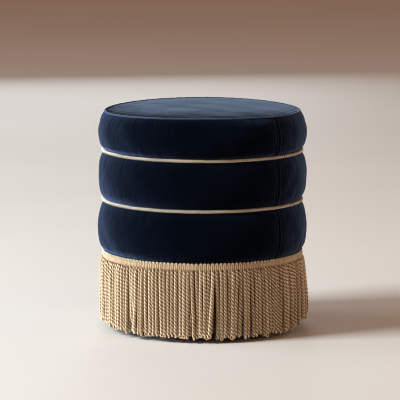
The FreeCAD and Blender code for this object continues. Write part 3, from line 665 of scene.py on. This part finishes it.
seat_outer = [(SEAT_RIM - r, 453.9 + 5.5 * (1 - ((SEAT_RIM - r) / SEAT_RIM) ** 4)) for r in np.linspace(0.0, SEAT_RIM - 12.0, 40)]
seat_inner = [(12.0, TOP_HIGH + 0.3), (191.0, TOP_HIGH + 0.3), (191.0, SEAM_Z - 1.2), (SEAT_RIM, SEAM_Z - 1.0)]
filled = fill_covers([
    ("middle_velvet_roll", middle_outer, middle_inner, 0.03),
    ("lower_velvet_roll", lower_outer, lower_inner, 0.03),
    ("upper_velvet_roll", upper_outer, upper_inner, 0.03),
    ("seat_velvet_panel", seat_outer, seat_inner, 0.01),
])
middle_roll = roll("middle_velvet_roll", middle_outer, middle_inner, LOWER_GROOVE, UPPER_GROOVE, 1.0, 1.0, 1)
lower_roll = roll("lower_velvet_roll", lower_outer, lower_inner, HEADER_TOP - 4.0, LOWER_GROOVE, 1.2, 1.0, 2)
upper_roll = roll("upper_velvet_roll", upper_outer, upper_inner, UPPER_GROOVE, SEAM_Z + 1.0, 1.0, 1.25, 3, top=True)


# ------------------------------------------------------------------ seat panel
def seat_panel():
    az = np.linspace(0, TAU, 540, endpoint=False)
    rim = SEAT_RIM
    high = 459.4
    rad = np.concatenate([[0.6, 3.0], np.linspace(0, 150, 26)[1:], np.linspace(150, rim, 30)[1:]])
    R = np.repeat(rad[:, None], len(az), 1)
    A = np.repeat(az[None, :], len(rad), 0)
    t = R / rim
    ride = seam_ride(A)
    Z = high - (high - SEAM_Z - 0.9 - ride) * (0.12 * t ** 2 + 0.88 * t ** 5.5) - 0.9 * t ** 34
    edge = rim - R
    still = np.clip(R / 60.0, 0, 1) ** 2
    Z = Z + 0.30 * pucker(A) * np.exp(-edge / 7.0) * np.clip(edge / 2.0, 0.15, 1)
    x, y = az_xy(R, A)
    # slow hollows of the foam under the cloth, the same from every side of the middle
    Z = Z + (0.35 * np.sin(x / 41.0 + 0.6) * np.cos(y / 53.0 - 0.4) + 0.22 * np.sin(x / 23.0 - y / 31.0) + 0.18 * np.cos(x / 17.0 + y / 19.0 + 1.0)) * np.clip(edge / 40.0, 0, 1)
    Z = Z + SEAT_FILL_K * np.clip(filled["seat_velvet_panel"](A, edge / (rim - 12.0)), -1.0, 1.0) * np.clip(edge / 4.0, 0, 1) * still
    Z = Z + 0.25 * long_pull(A) * np.exp(-edge / 22.0) * np.clip(edge / 4.0, 0, 1) * still
    top = np.stack([x, y, Z], -1).reshape(-1, 3)
    shell = [(rim, SEAM_Z - 0.2), (rim - 0.6, SEAM_Z - 1.0), (191.0, SEAM_Z - 1.2), (191.0, TOP_HIGH + 0.3)]
    rows = len(rad) + len(shell)
    sides = []
    for k, (r, z) in enumerate(shell):
        sx, sy = az_xy(np.full(len(az), r), az)
        sides.append(np.stack([sx, sy, z + (seam_ride(az) if k < 3 else 0.0 * az)], -1))
    centre = high + 0.35 * math.sin(0.6) * math.cos(-0.4) + 0.18 * math.cos(1.0)
    co = np.concatenate([top, np.concatenate(sides), [[0, 0, centre], [0, 0, TOP_HIGH + 0.3]]])
    cols = len(az)
    quads = ring_quads(rows, cols)
    c = np.arange(cols)
    tip, foot = len(co) - 2, len(co) - 1
    tris = np.concatenate([
        np.stack([np.full(cols, tip), (c + 1) % cols, c], -1),
        np.stack([np.full(cols, foot), (rows - 1) * cols + c, (rows - 1) * cols + (c + 1) % cols], -1),
    ])
    return make_object("seat_velvet_panel", co, quads, tris, material=SEAT)


long_pull = Noise(14, 20, 60, seed=16)
seat = seat_panel()


def ring_tube(name, ring_r, ring_z, radius, count, sides, wobble_r, wobble_z, fat, material):
    """A plain tube round the stool with a little hand-made unevenness."""
    az = np.linspace(0, TAU, count, endpoint=False)
    r = ring_r + wobble_r(az)
    z = ring_z + wobble_z(az)
    ph = np.linspace(0, TAU, sides, endpoint=False)
    rad = radius * fat(az)
    R = r[:, None] + rad[:, None] * np.cos(ph)[None, :]
    Z = z[:, None] + rad[:, None] * np.sin(ph)[None, :]
    A = np.repeat(az[:, None], sides, 1)
    x, y = az_xy(R, A)
    co = np.stack([x, y, Z], -1).reshape(-1, 3)
    quads = ring_quads(count, sides, closed_rows=True)
    u = np.linspace(0, TAU * ring_r * MM, count + 1)
    v = np.linspace(0, 1, sides + 1)
    return make_object(name, co, quads, uv=grid_uv(count, sides, u, v, closed_rows=True), material=material)


w1 = Noise(12, 20, 120, seed=21)
w2 = Noise(12, 20, 120, seed=22)
w3 = Noise(16, 60, 240, seed=23)
welt = ring_tube(
    "seat_self_welt", SEAM_R + 0.3, SEAM_Z + 0.55, 1.55, 900, 10,
    lambda a: 0.12 * w1(a), lambda a: seam_ride(a) + 0.12 * w2(a), lambda a: 1.0 + 0.06 * w3(a), WELT,
)


# ------------------------------------------------------------------ rope trims
def rope(name, ring_z, turns, seed):
    g = np.random.default_rng(seed)
    wr, wz = Noise(14, 5, 70, seed=seed + 1), Noise(14, 5, 70, seed=seed + 2)
    slip = Noise(10, 3, 40, seed=seed + 3)
    per = 14
    count = turns * per
    sides = 10
    az = np.linspace(0, TAU, count, endpoint=False)
    cr = ROPE_RING + 0.05 + 0.20 * wr(az)
    cz = ring_z + 0.22 * wz(az)
    cx, cy = az_xy(cr, az)
    C = np.stack([cx, cy, cz], -1)
    ply, lay = 1.38, 1.90
    co, quads, uvs, tint, deep = [], [], [], [], []
    for p in range(2):
        th = -turns * az + TAU * p / 2.0 + 0.22 * slip(az)
        fat = 1.0 + 0.05 * Noise(12, 10, 150, seed=seed + 7 + p)(az)
        pr = cr + lay * np.sin(th)
        pz = cz + lay * np.cos(th)
        x, y = az_xy(pr, az)
        P = np.stack([x, y, pz], -1)
        T = np.roll(P, -1, 0) - np.roll(P, 1, 0)
        T /= np.linalg.norm(T, axis=1)[:, None]
        er = np.stack([np.sin(az), -np.cos(az), np.zeros_like(az)], -1)
        ez = np.array([0, 0, 1.0])
        out = er * np.sin(th)[:, None] + ez * np.cos(th)[:, None]
        out -= (out * T).sum(1)[:, None] * T
        out /= np.linalg.norm(out, axis=1)[:, None]
        side = np.cross(T, out)
        ph = np.linspace(0, TAU, sides, endpoint=False)
        rad = ply * fat
        V = P[:, None, :] + rad[:, None, None] * (np.cos(ph)[None, :, None] * out[:, None, :] + np.sin(ph)[None, :, None] * side[:, None, :])
        base = sum(len(c) for c in co)
        co.append(V.reshape(-1, 3))
        quads.append(ring_quads(count, sides, closed_rows=True, base=base))
        step = np.linalg.norm(np.roll(P, -1, 0) - P, axis=1) * MM
        u = np.concatenate([[0], np.cumsum(step)])
        uvs.append(grid_uv(count, sides, u, np.linspace(0, 1, sides + 1), closed_rows=True))
        tone = 0.62 + 0.12 * Noise(8, 2, 30, seed=seed + 20 + p)(az) + g.uniform(-0.06, 0.06)
        tint.append(np.repeat(tone, sides))
        # painted shade: deep rises towards the rope's core, where the colour is darkened towards the groove shade
        far = np.linalg.norm(V - C[:, None, :], axis=2)
        deep.append(np.clip(1.25 * (1.0 - far / (ply + lay)), 0, 1).ravel())
    return make_object(name, np.concatenate(co), np.concatenate(quads), uv=np.concatenate(uvs), tint=np.concatenate(tint), deep=np.concatenate(deep), material=ROPE)


upper_rope = rope("upper_rope", UPPER_GROOVE, 105, 41)
lower_rope = rope("lower_rope", LOWER_GROOVE, 105, 61)


# ------------------------------------------------------------------ tubes along many lines at once
def transport(P):
    """Tangents and a carried-along frame for N lines of M points."""
    T = np.empty_like(P)
    T[:, 1:-1] = P[:, 2:] - P[:, :-2]
    T[:, 0] = P[:, 1] - P[:, 0]
    T[:, -1] = P[:, -1] - P[:, -2]
    T /= np.linalg.norm(T, axis=2)[..., None]
    n = np.cross(T[:, 0], np.array([0.31, 0.22, 0.93]))
    n /= np.linalg.norm(n, axis=1)[:, None]
    N = np.empty_like(P)
    N[:, 0] = n
    for k in range(1, P.shape[1]):
        n = n - (n * T[:, k]).sum(1)[:, None] * T[:, k]
        n /= np.linalg.norm(n, axis=1)[:, None]
        N[:, k] = n
    return T, N, np.cross(T, N)


def tubes(P, rad, sides, tone, axis=None, reach=3.6):
    """Closed tubes along P (N, M, 3) with radii (N, M): vertices, quads, end triangles, uv, tint and depth.
    Depth is 0 at reach from the axis line and 1 on it."""
    n, m, _ = P.shape
    T, N, B = transport(P)
    ph = np.linspace(0, TAU, sides, endpoint=False)
    ring = np.cos(ph)[None, None, :, None] * N[:, :, None, :] + np.sin(ph)[None, None, :, None] * B[:, :, None, :]
    V = P[:, :, None, :] + rad[:, :, None, None] * ring
    per = m * sides + 2
    co = np.concatenate([V.reshape(n, m * sides, 3), P[:, :1] - T[:, :1] * rad[:, :1, None] * 0.5, P[:, -1:] + T[:, -1:] * rad[:, -1:, None] * 0.5], 1).reshape(-1, 3)
    q0 = ring_quads(m, sides)
    c = np.arange(sides)
    t0 = np.concatenate([
        np.stack([np.full(sides, m * sides), (c + 1) % sides, c], -1),
        np.stack([np.full(sides, m * sides + 1), (m - 1) * sides + c, (m - 1) * sides + (c + 1) % sides], -1),
    ])
    shift = (np.arange(n) * per)[:, None, None]
    quads = (q0[None] + shift).reshape(-1, 4)
    tris = (t0[None] + shift).reshape(-1, 3)
    step = np.linalg.norm(P[:, 1:] - P[:, :-1], axis=2) * MM
    U = np.concatenate([np.zeros((n, 1)), np.cumsum(step, 1)], 1)
    v = np.linspace(0, 1, sides + 1)
    rr, cc = np.meshgrid(np.arange(m - 1), np.arange(sides), indexing="ij")
    u0, u1 = U[:, rr], U[:, rr + 1]
    v0, v1 = np.broadcast_to(v[cc], u0.shape), np.broadcast_to(v[cc + 1], u0.shape)
    uv = np.stack([np.stack([u0, v0], -1), np.stack([u0, v1], -1), np.stack([u1, v1], -1), np.stack([u1, v0], -1)], -2).reshape(-1, 2)
    tri_uv = np.zeros((len(tris) * 3, 2))
    tint = np.repeat(tone, per)
    if axis is None:
        deep = np.zeros(n * per)
    else:
        far = np.linalg.norm(V - axis[:, :, None, :], axis=3).reshape(n, m * sides)
        deep = np.concatenate([np.clip(1.0 - far / reach, 0, 1), np.full((n, 2), 0.6)], 1).ravel()
    return co, quads, tris, np.concatenate([uv, tri_uv]), tint, deep


# ------------------------------------------------------------------ fringe header
def header():
    """A tape of upright cords, two lines of stitching across it, and a row of small loops along its top, their pale
    tone a painted highlight.
    """
    g = np.random.default_rng(77)
    ribs = 314
    pitch = TAU / ribs
    mid_r = 206.3
    cord = 2.10
    top = HEADER_TOP - 4.1
    az = (np.arange(ribs) + 0.5) * pitch + g.normal(0, 0.02, ribs) * pitch
    m = 14
    H = np.repeat(np.linspace(HEADER_LOW - 0.2, top + 0.6, m)[None], ribs, 0) + g.normal(0, 0.12, (ribs, 1))
    stitch = (HEADER_LOW + 2.2, top - 2.0)
    press = sum(0.55 * np.exp(-((H - z) / 0.9) ** 2) for z in stitch)
    tuck = 0.8 * np.exp(-((H - HEADER_LOW) / 0.8) ** 2) + 0.6 * np.exp(-((H - top) / 0.9) ** 2)
    x, y = az_xy(mid_r - press - tuck * 0.5, np.repeat(az[:, None], m, 1) + 0.03 * pitch * np.sin((H - HEADER_LOW) * 0.9 + g.uniform(0, TAU, (ribs, 1))))
    P = np.stack([x, y, H], -1)
    rad = np.full((ribs, m), cord + 0.06) * (1 + g.normal(0, 0.008, (ribs, 1))) - 0.18 * press - 0.22 * tuck
    co, quads, tris, uv, tint, deep = tubes(P, rad, 8, np.clip(0.22 + g.normal(0, 0.03, ribs), 0, 1))
    # painted shade: deep darkens the ribs where they sink back between each other towards the tape
    far = np.hypot(co[:, 0], co[:, 1])
    deep = np.clip((mid_r + cord - 0.4 - far) / 3.0, 0, 1)
    tape_ribs = make_object("fringe_header_gimp", co, quads, tris, uv=uv, tint=tint, deep=deep, material=GIMP)
    # the loops
    loops = ribs // 2                                  # one loop to each strand of the fringe
    lp = TAU / loops
    la = (np.arange(loops) + 0.5) * lp + g.normal(0, 0.03, loops) * lp
    half, fat = 1.30, 1.45
    foot = top - 0.6
    turn = np.linspace(0, math.pi, 11)
    crown = HEADER_TOP - fat - (foot + 1.0)
    lat = np.concatenate([[-half * 1.25, -half * 1.12], -half * np.cos(turn) * (1 - 0.10 * np.sin(turn)), [half * 1.12, half * 1.25]])
    hgt = np.concatenate([[foot, foot + 0.6], foot + 1.0 + crown * np.sin(turn) ** 0.85, [foot + 0.6, foot]])
    L = np.repeat(lat[None], loops, 0) * (1 + g.normal(0, 0.04, (loops, 1)))
    K = np.repeat(hgt[None], loops, 0) + g.normal(0, 0.20, (loops, 1)) * (np.repeat(hgt[None], loops, 0) > foot + 1.2)
    lean = g.normal(0.25, 0.25, (loops, 1))
    L = L + lean * (K - foot) / 4.0
    Rr = mid_r + 0.1 + 0.35 * np.sin(np.linspace(0, math.pi, len(lat)))[None] + np.zeros((loops, 1))
    x, y = az_xy(Rr, la[:, None] + L / mid_r)
    P = np.stack([x, y, K], -1)
    rad = np.full(K.shape, fat) * (1 + g.normal(0, 0.03, (loops, 1)))
    # painted highlight: the loops get a pale tone for the light their rounded tops catch; painted shade: deep darkens
    # each loop towards its foot
    axis = np.stack([*az_xy(np.full(K.shape, mid_r + 0.35), np.repeat(la[:, None], K.shape[1], 1)), np.full(K.shape, foot + 1.2)], -1)
    co, quads, tris, uv, tint, deep = tubes(P, rad, 9, np.clip(0.95 + g.normal(0, 0.04, loops), 0, 1), axis=axis, reach=3.0)
    beads = make_object("header_loop_edge", co, quads, tris, uv=uv, tint=tint, deep=deep, material=GIMP)
    # stitch threads
    co2, q2 = [], []
    sides = 6
    for z in stitch:
        az2 = np.linspace(0, TAU, ribs * 8, endpoint=False)
        wave = np.cos((az2 - 0.5 * pitch) * ribs)
        r = mid_r + cord - 0.62 + 0.34 * wave
        zz = z + 0.22 * np.sin(az2 * ribs / 2.0)
        xx, yy = az_xy(r, az2)
        P2 = np.stack([xx, yy, zz], -1)
        T = np.roll(P2, -1, 0) - np.roll(P2, 1, 0)
        T /= np.linalg.norm(T, axis=1)[:, None]
        B = np.cross(T, np.array([0, 0, 1.0]))
        B /= np.linalg.norm(B, axis=1)[:, None]
        U = np.cross(B, T)
        ph = np.linspace(0, TAU, sides, endpoint=False)
        V = P2[:, None, :] + 0.36 * (np.cos(ph)[None, :, None] * B[:, None, :] + np.sin(ph)[None, :, None] * U[:, None, :])
        base = sum(len(c) for c in co2)
        co2.append(V.reshape(-1, 3))
        q2.append(ring_quads(len(P2), sides, closed_rows=True, base=base))
    q2 = np.concatenate(q2)
    co2 = np.concatenate(co2)
    thread = make_object("header_stitch_threads", co2, q2, uv=np.zeros((len(q2) * 4, 2)), tint=np.full(len(co2), 0.40), material=GIMP)
    return tape_ribs, beads, thread


header_body, header_loops, header_thread = header()


def band_shell(name, profile_pts, count, rise, material):
    """A closed shell turned round the axis from a closed profile, with a small displacement."""
    az = np.linspace(0, TAU, count, endpoint=False)
    prof = np.array(profile_pts, float)
    R = np.repeat(prof[:, 0][:, None], count, 1)
    Z = np.repeat(prof[:, 1][:, None], count, 1)
    A = np.repeat(az[None], len(prof), 0)
    if rise is not None:
        R = R + rise(A, Z)
    x, y = az_xy(R, A)
    co = np.stack([x, y, Z], -1).reshape(-1, 3)
    rows = len(prof)
    quads = ring_quads(rows, count, closed_rows=True)
    length = np.concatenate([[0], np.cumsum(np.linalg.norm(np.diff(np.vstack([prof, prof[:1]]), axis=0), axis=1))]) * MM
    uv = grid_uv(rows, count, length, np.linspace(0, TAU * 0.2, count + 1), closed_rows=True)
    return make_object(name, co, quads, uv=uv, material=material)


TAPE = cloth_material("header_tape_weave", (0.30, 0.21, 0.11), (0.50, 0.38, 0.23), 0.0009)
tape = band_shell("header_tape", [(203.2, 149.4), (204.6, 149.4), (204.6, 155.0), (204.6, 159.6), (203.2, 159.6), (203.2, 155.0)], 480, None, TAPE)


# ------------------------------------------------------------------ bullion fringe
def fringe():
    """Twisted strands, each one yarn folded at the bottom into a loop and twisted back on itself.
    They lean and crowd as hung strands do, and a relaxation pushes them apart where they would run into each other."""
    g = np.random.default_rng(911)
    front, behind = 157, 116
    n = front + behind
    ring = 207.6
    levels = 15
    z_top = 150.4
    depth = np.linspace(0, 1, levels)
    is_back = np.zeros(n, bool)
    is_back[front:] = True
    az0 = np.concatenate([(np.arange(front) + 0.5) / front * TAU, (np.arange(behind) + 0.5) / behind * TAU])
    az0[:front] += g.normal(0, 0.03, front) * TAU / front
    az0[front:] += g.normal(0, 0.20, behind) * TAU / behind
    cluster = Noise(16, 14, 40, seed=5)
    lean = Noise(9, 3, 9, seed=6)
    length_wave = Noise(12, 9, 60, seed=7)
    low = 11.4 + 1.5 * length_wave(az0) + g.normal(0, 1.5, n)
    low[is_back] += g.uniform(1.0, 9.0, behind)
    # drawn up a little at both sides
    turned = (np.degrees(az0) + 180.0) % 360.0 - 180.0
    low = low + 13.0 * np.clip((turned - 52.0) / 22.0, 0, 1) ** 1.3 * (turned < 120) + 9.0 * np.clip((-turned - 48.0) / 26.0, 0, 1) ** 1.2 * (turned > -125)
    low = np.clip(low, 5.5, 30.0)
    side = 1.6 * cluster(az0) + 1.3 * lean(az0) + g.normal(0, 1.1, n) * (1 + 0.5 * np.abs(np.sin(az0)))
    stray = g.random(n) < 0.09
    side[stray] += g.choice([-1, 1], stray.sum()) * g.uniform(4.5, 8.5, stray.sum())
    side[2] = -7.5                                     # one strand lies slanting over its neighbours
    # a few partings
    for a in (-45.0, -39.8, -34.2, -28.4, 23.5, 26.9, 34.9, 49.9, 118.0, 171.0, -150.0, -96.0):
        off = np.radians((turned - a + 180.0) % 360.0 - 180.0)
        side += 4.0 * np.sign(off) * np.exp(-np.abs(off) / 0.055)
    bow = g.normal(0, 0.7, n)
    # the strands stand out a little lower down, more so on the right
    flare = 2.6 + 4.6 * np.clip(np.sin(az0), 0, 1) ** 1.5 + 0.9 * np.sin(az0).clip(-1, 0) + 0.6 * Noise(6, 2, 7, seed=8)(az0)
    d = depth[None]
    lat0 = (az0 * ring)[:, None] + side[:, None] * d ** 1.35 + bow[:, None] * np.sin(math.pi * d)
    rad0 = ring - 1.5 * np.clip(1 - d * 9.0, 0, 1) + flare[:, None] * (1 - np.exp(-d * 4.0))
    rad0 = rad0 + g.normal(0, 0.55, (n, 1)) * (1 + 1.6 * np.abs(np.sin(az0))[:, None]) * np.minimum(1, d * 5)
    rad0[2] += 4.5 * np.clip(d[0] * 2.2, 0, 1)
    rad0[is_back] = 203.4 + 0.45 * (rad0[is_back] - ring)
    L, Rr = lat0.copy(), rad0.copy()
    girth = TAU * ring
    order = np.argsort(az0)
    L, Rr, lat0, rad0 = L[order], Rr[order], lat0[order], rad0[order]
    low, is_back = low[order], is_back[order]
    thick = 7.3
    for it in range(60):
        for gap in (1, 2, 3):
            dL = np.roll(L, -gap, 0) - L
            dL = (dL + girth / 2) % girth - girth / 2
            dR = np.roll(Rr, -gap, 0) - Rr
            dist = np.sqrt(dL * dL + dR * dR) + 1e-6
            over = np.clip(thick - dist, 0, None)
            over[:, 0] *= 0.2
            px, pr = dL / dist * over * 0.30, dR / dist * over * 0.30
            L -= px
            Rr -= pr
            L += np.roll(px, gap, 0)
            Rr += np.roll(pr, gap, 0)
        L[:, 1:-1] = 0.5 * L[:, 1:-1] + 0.25 * (L[:, 2:] + L[:, :-2])
        Rr[:, 1:-1] = 0.5 * Rr[:, 1:-1] + 0.25 * (Rr[:, 2:] + Rr[:, :-2])
        L += (lat0 - L) * 0.06
        Rr += (rad0 - Rr) * 0.06
        Rr = np.maximum(Rr, 203.6)
        L[:, 0] += (lat0[:, 0] - L[:, 0]) * 0.5
        Rr[:, 0] += (rad0[:, 0] - Rr[:, 0]) * 0.5
    pitch = 15.05 * (1 + g.normal(0, 0.03, n))
    phase = g.uniform(0, TAU, n)
    open_k = g.uniform(0.5, 1.6, n)
    girth_k = 1 + g.normal(0, 0.03, n)
    soft_k = g.uniform(0, TAU, n)
    # painted shade: the back strands get a darker tone for the shade they hang in behind the front ones
    tone = np.clip(0.52 + g.normal(0, 0.20, n) - 0.12 * is_back, 0.03, 1.0)
    tone[2] = 0.95
    turns = 9.1
    bits = {}
    sectors = 12
    where = np.mod(L[:, 0] / ring, TAU)
    for rear, per_turn, sides in ((False, 11, 8), (True, 8, 6)):
        m = int(per_turn * turns)
        t = np.linspace(0, 1, m)
        xi = t * (levels - 1)
        i0 = np.clip(xi.astype(int), 1, levels - 3)
        f = xi - i0

        def cubic(a):
            p0, p1, p2, p3 = a[:, i0 - 1], a[:, i0], a[:, i0 + 1], a[:, i0 + 2]
            return p1 + 0.5 * f * (p2 - p0 + f * (2 * p0 - 5 * p1 + 4 * p2 - p3 + f * (3 * (p1 - p2) + p3 - p0)))

        w = np.where(is_back == rear)[0]
        Lf, Rf = cubic(L[w]), cubic(Rr[w])
        span = (z_top - low - 3.2)[w][:, None]
        s = t[None] * span
        Zf = z_top - s
        gk = girth_k[w][:, None]
        phi = phase[w][:, None] + TAU * s / pitch[w][:, None] + 0.35 * np.sin(s / 23.0 + soft_k[w][:, None])
        open_up = np.exp(-(span - s) / 3.2)
        shut = np.exp(-s / 2.5)
        rho = 2.00 * (1 + 0.36 * open_up * open_k[w][:, None] - 0.35 * shut) * gk

        def place(lat, rad, z):
            x, y = az_xy(rad, lat / ring)
            return np.stack([x, y, z + 0.0 * x], -1)

        ply_a = place(Lf + rho * np.sin(phi), Rf + rho * np.cos(phi), Zf)
        ply_b = place(Lf - rho * np.sin(phi), Rf - rho * np.cos(phi), Zf)
        core = place(Lf, Rf, Zf)
        turn = np.linspace(0, math.pi, 9)[None, 1:-1]
        end_l, end_r, end_z, end_p, end_rho = Lf[:, -1:], Rf[:, -1:], Zf[:, -1:], phi[:, -1:], rho[:, -1:]
        swing = end_rho * np.cos(turn)
        dropped = end_rho * np.sin(turn) * 1.25
        loop = place(end_l + swing * np.sin(end_p), end_r + swing * np.cos(end_p), end_z - dropped)
        P = np.concatenate([ply_a, loop, ply_b[:, ::-1]], 1)
        axis = np.concatenate([core, np.repeat(core[:, -1:], loop.shape[1], 1), core[:, ::-1]], 1)
        total = P.shape[1]
        rad = 1.74 * gk * (1 + 0.03 * np.sin(np.arange(total)[None] * 0.9 + soft_k[w][:, None]))
        taper = np.concatenate([shut, np.zeros((len(w), loop.shape[1])), shut[:, ::-1]], 1)
        rad = rad * (1 - 0.25 * taper)
        # painted shade: deep darkens each strand's plies towards its core, down between the plies
        for k in range(sectors):
            pick = (where[w] >= k * TAU / sectors) & (where[w] < (k + 1) * TAU / sectors)
            bits.setdefault(k, []).append(tubes(P[pick], rad[pick], sides, tone[w][pick], axis=axis[pick], reach=3.74))
    made = []
    for k in range(sectors):
        (c1, q1, t1, u1, s1, d1), (c2, q2, t2, u2, s2, d2) = bits[k]
        off = len(c1)
        n1, n2 = len(q1) * 4, len(q2) * 4
        uv = np.concatenate([u1[:n1], u2[:n2], u1[n1:], u2[n2:]])
        made.append(make_object(
            "bullion_strands_%02d" % (k + 1), np.concatenate([c1, c2]), np.concatenate([q1, q2 + off]), np.concatenate([t1, t2 + off]),
            uv=uv, tint=np.concatenate([s1, s2]), deep=np.concatenate([d1, d2]), material=BULLION,
        ))
    return made


strands = fringe()

# ------------------------------------------------------------------ lining and dust cover
sag = Noise(12, 6, 60, 0.0, 0.08, seed=31)
lining = band_shell(
    "base_lining_cloth",
    [(185.5, 31.25), (198.6, 31.25), (199.9, 32.2)] + [(200.0, z) for z in np.linspace(36, 148.8, 12)] + [(199.1, 148.8)] + [(199.1, z) for z in np.linspace(146, 40, 6)] + [(199.1, 32.0), (185.5, 32.0)],
    420, lambda A, Z: 0.12 * sag(A, Z) * (Z > 34) * (Z < 149), LINING,
)


def dust_cover():
    count = 300
    az = np.linspace(0, TAU, count, endpoint=False)
    rad = np.array([12, 30, 55, 80, 105, 125, 145, 160, 172, 182, 189, 193.5, 196.3, 197.4])
    R = np.repeat(rad[:, None], count, 1)
    A = np.repeat(az[None], len(rad), 0)
    hang = np.clip((191.0 - R) / 60.0, 0, 1)
    drop = 0.55 * hang ** 1.0 * (0.6 + 0.4 * np.sin(A * 2 + 0.7)) + 0.10 * np.sin(A * 24.0 + math.radians(90)) * np.exp(-((R - 186.0) / 6.0) ** 2)
    under = 30.45 - drop * 0.6
    x, y = az_xy(R, A)
    low = np.stack([x, y, under], -1)
    high = np.stack([x, y, under + 0.6], -1)
    co = np.concatenate([low.reshape(-1, 3), high[::-1].reshape(-1, 3), [[0, 0, 30.1], [0, 0, 30.7]]])
    rows = 2 * len(rad)
    quads = ring_quads(rows, count)
    c = np.arange(count)
    tris = np.concatenate([
        np.stack([np.full(count, len(co) - 2), (c + 1) % count, c], -1),
        np.stack([np.full(count, len(co) - 1), (rows - 1) * count + c, (rows - 1) * count + (c + 1) % count], -1),
    ])
    return make_object("dust_cover_cloth", co, quads, tris, material=DUST)


cover = dust_cover()

# ------------------------------------------------------------------ who stands for what
for ob in [seat, upper_roll, middle_roll, lower_roll, welt, upper_rope, lower_rope, header_body, header_loops, header_thread, tape, lining, cover] + strands:
    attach(ob, "root")
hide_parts("seat_top_panel", "seat_foam")
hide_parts("upper_velvet_band")
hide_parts("middle_velvet_band", "middle_foam_roll")
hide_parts("lower_velvet_band", "lower_foam_roll")
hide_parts("seat_welt")
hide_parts("upper_rope_trim")
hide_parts("lower_rope_trim")
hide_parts("header_bead_edge")
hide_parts("fringe_header")
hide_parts("fringe_header")
for ob in strands:
    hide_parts("bullion_fringe")
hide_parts("base_lining")
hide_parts("dust_cover")

finish = {
    "top_board": PLY, "middle_hoop": PLY, "lower_hoop": PLY, "base_board": PLY,
    "post_right": POST, "post_back": POST, "post_left": POST, "post_front": POST,
    "upper_drum_panel": BOARD, "middle_drum_panel": BOARD, "base_drum_panel": BOARD,
    "dust_cover_staples": STEEL, "hanger_bolts": STEEL, "tee_nuts": STEEL,
    "top_board_screws": STEEL, "base_board_screws": STEEL, "hoop_screws": STEEL,
    "foot_front_right": FOOT, "foot_back_right": FOOT, "foot_back_left": FOOT, "foot_front_left": FOOT,
    "foot_glides": NYLON,
}
for name, material in finish.items():
    ob = nodes[name]
    ob.data.materials.clear()
    ob.data.materials.append(material)

# ------------------------------------------------------------------ stage, light, camera
bpy.ops.mesh.primitive_plane_add(size=60.0, location=(0, 0, 0))
floor = bpy.context.object
floor.name = "studio_floor"
floor.data.materials.append(floor_material())


def area_light(name, az_deg, elev_deg, distance, size, power, colour, target=(0, 0, 0.2)):
    data = bpy.data.lights.new(name, "AREA")
    data.shape = "SQUARE"
    data.size = size
    data.energy = power
    data.color = colour
    ob = bpy.data.objects.new(name, data)
    bpy.context.scene.collection.objects.link(ob)
    a, e = math.radians(az_deg), math.radians(elev_deg)
    d = Vector((math.sin(a) * math.cos(e), -math.cos(a) * math.cos(e), math.sin(e)))
    ob.location = Vector(target) + d * distance
    ob.rotation_mode = "QUATERNION"
    ob.rotation_quaternion = (-d).to_track_quat("-Z", "Y")
    return ob


area_light("key", -68.0, 37.0, 6.0, 2.0, 555.0, (0.850, 0.955, 1.0))
area_light("left_rim", -103.0, 9.0, 4.0, 1.6, 120.0, (0.70, 0.88, 1.0))
area_light("back_right", 128.0, 26.0, 3.0, 1.6, 9.0, (1.0, 0.88, 0.74))
area_light("right", 64.0, 30.0, 4.0, 1.0, 19.0, (1.0, 0.74, 0.50))
area_light("back", -172.0, 16.0, 5.0, 2.4, 38.0, (0.78, 0.93, 1.0))

# warm room light: dim from below, the rest from the walls and the ceiling
SKY_LOW, SKY_SIDE, SKY_TOP = (0.155, 0.086, 0.048), (0.288, 0.140, 0.074), (0.325, 0.162, 0.088)
world = bpy.data.worlds.new("studio")
bpy.context.scene.world = world
world.use_nodes = True
sky = world.node_tree
sep = sky.nodes.new("ShaderNodeSeparateXYZ")
sky.links.new(sky.nodes.new("ShaderNodeTexCoord").outputs["Generated"], sep.inputs[0])
height = math_node(sky, "ADD", math_node(sky, "MULTIPLY", sep.outputs[2], 0.5), 0.5)
sky.links.new(ramp(sky, height, [(0.46, SKY_LOW), (0.54, SKY_SIDE), (1.0, SKY_TOP)]), sky.nodes["Background"].inputs["Color"])
# the room is lighter on the key's side
sky.links.new(math_node(sky, "ADD", math_node(sky, "MULTIPLY", sep.outputs[0], -0.55), 0.91), sky.nodes["Background"].inputs["Strength"])

cam_data = bpy.data.cameras.new("camera")
cam_data.lens = 279.0
cam_data.sensor_width = 36.0
cam_data.clip_end = 100.0
cam = bpy.data.objects.new("camera", cam_data)
bpy.context.scene.collection.objects.link(cam)
aim = Vector((-0.0050, 0.0, 0.264))
e = math.radians(8.0)
back = Vector((0.0, -math.cos(e), math.sin(e)))
cam.location = aim + back * 6.44
cam.rotation_mode = "QUATERNION"
cam.rotation_quaternion = (-back).to_track_quat("-Z", "Y")
bpy.context.scene.camera = cam
bpy.context.scene.view_settings.view_transform = "Standard"
bpy.context.scene.cycles.filter_width = 1.0            # as crisp as the photograph
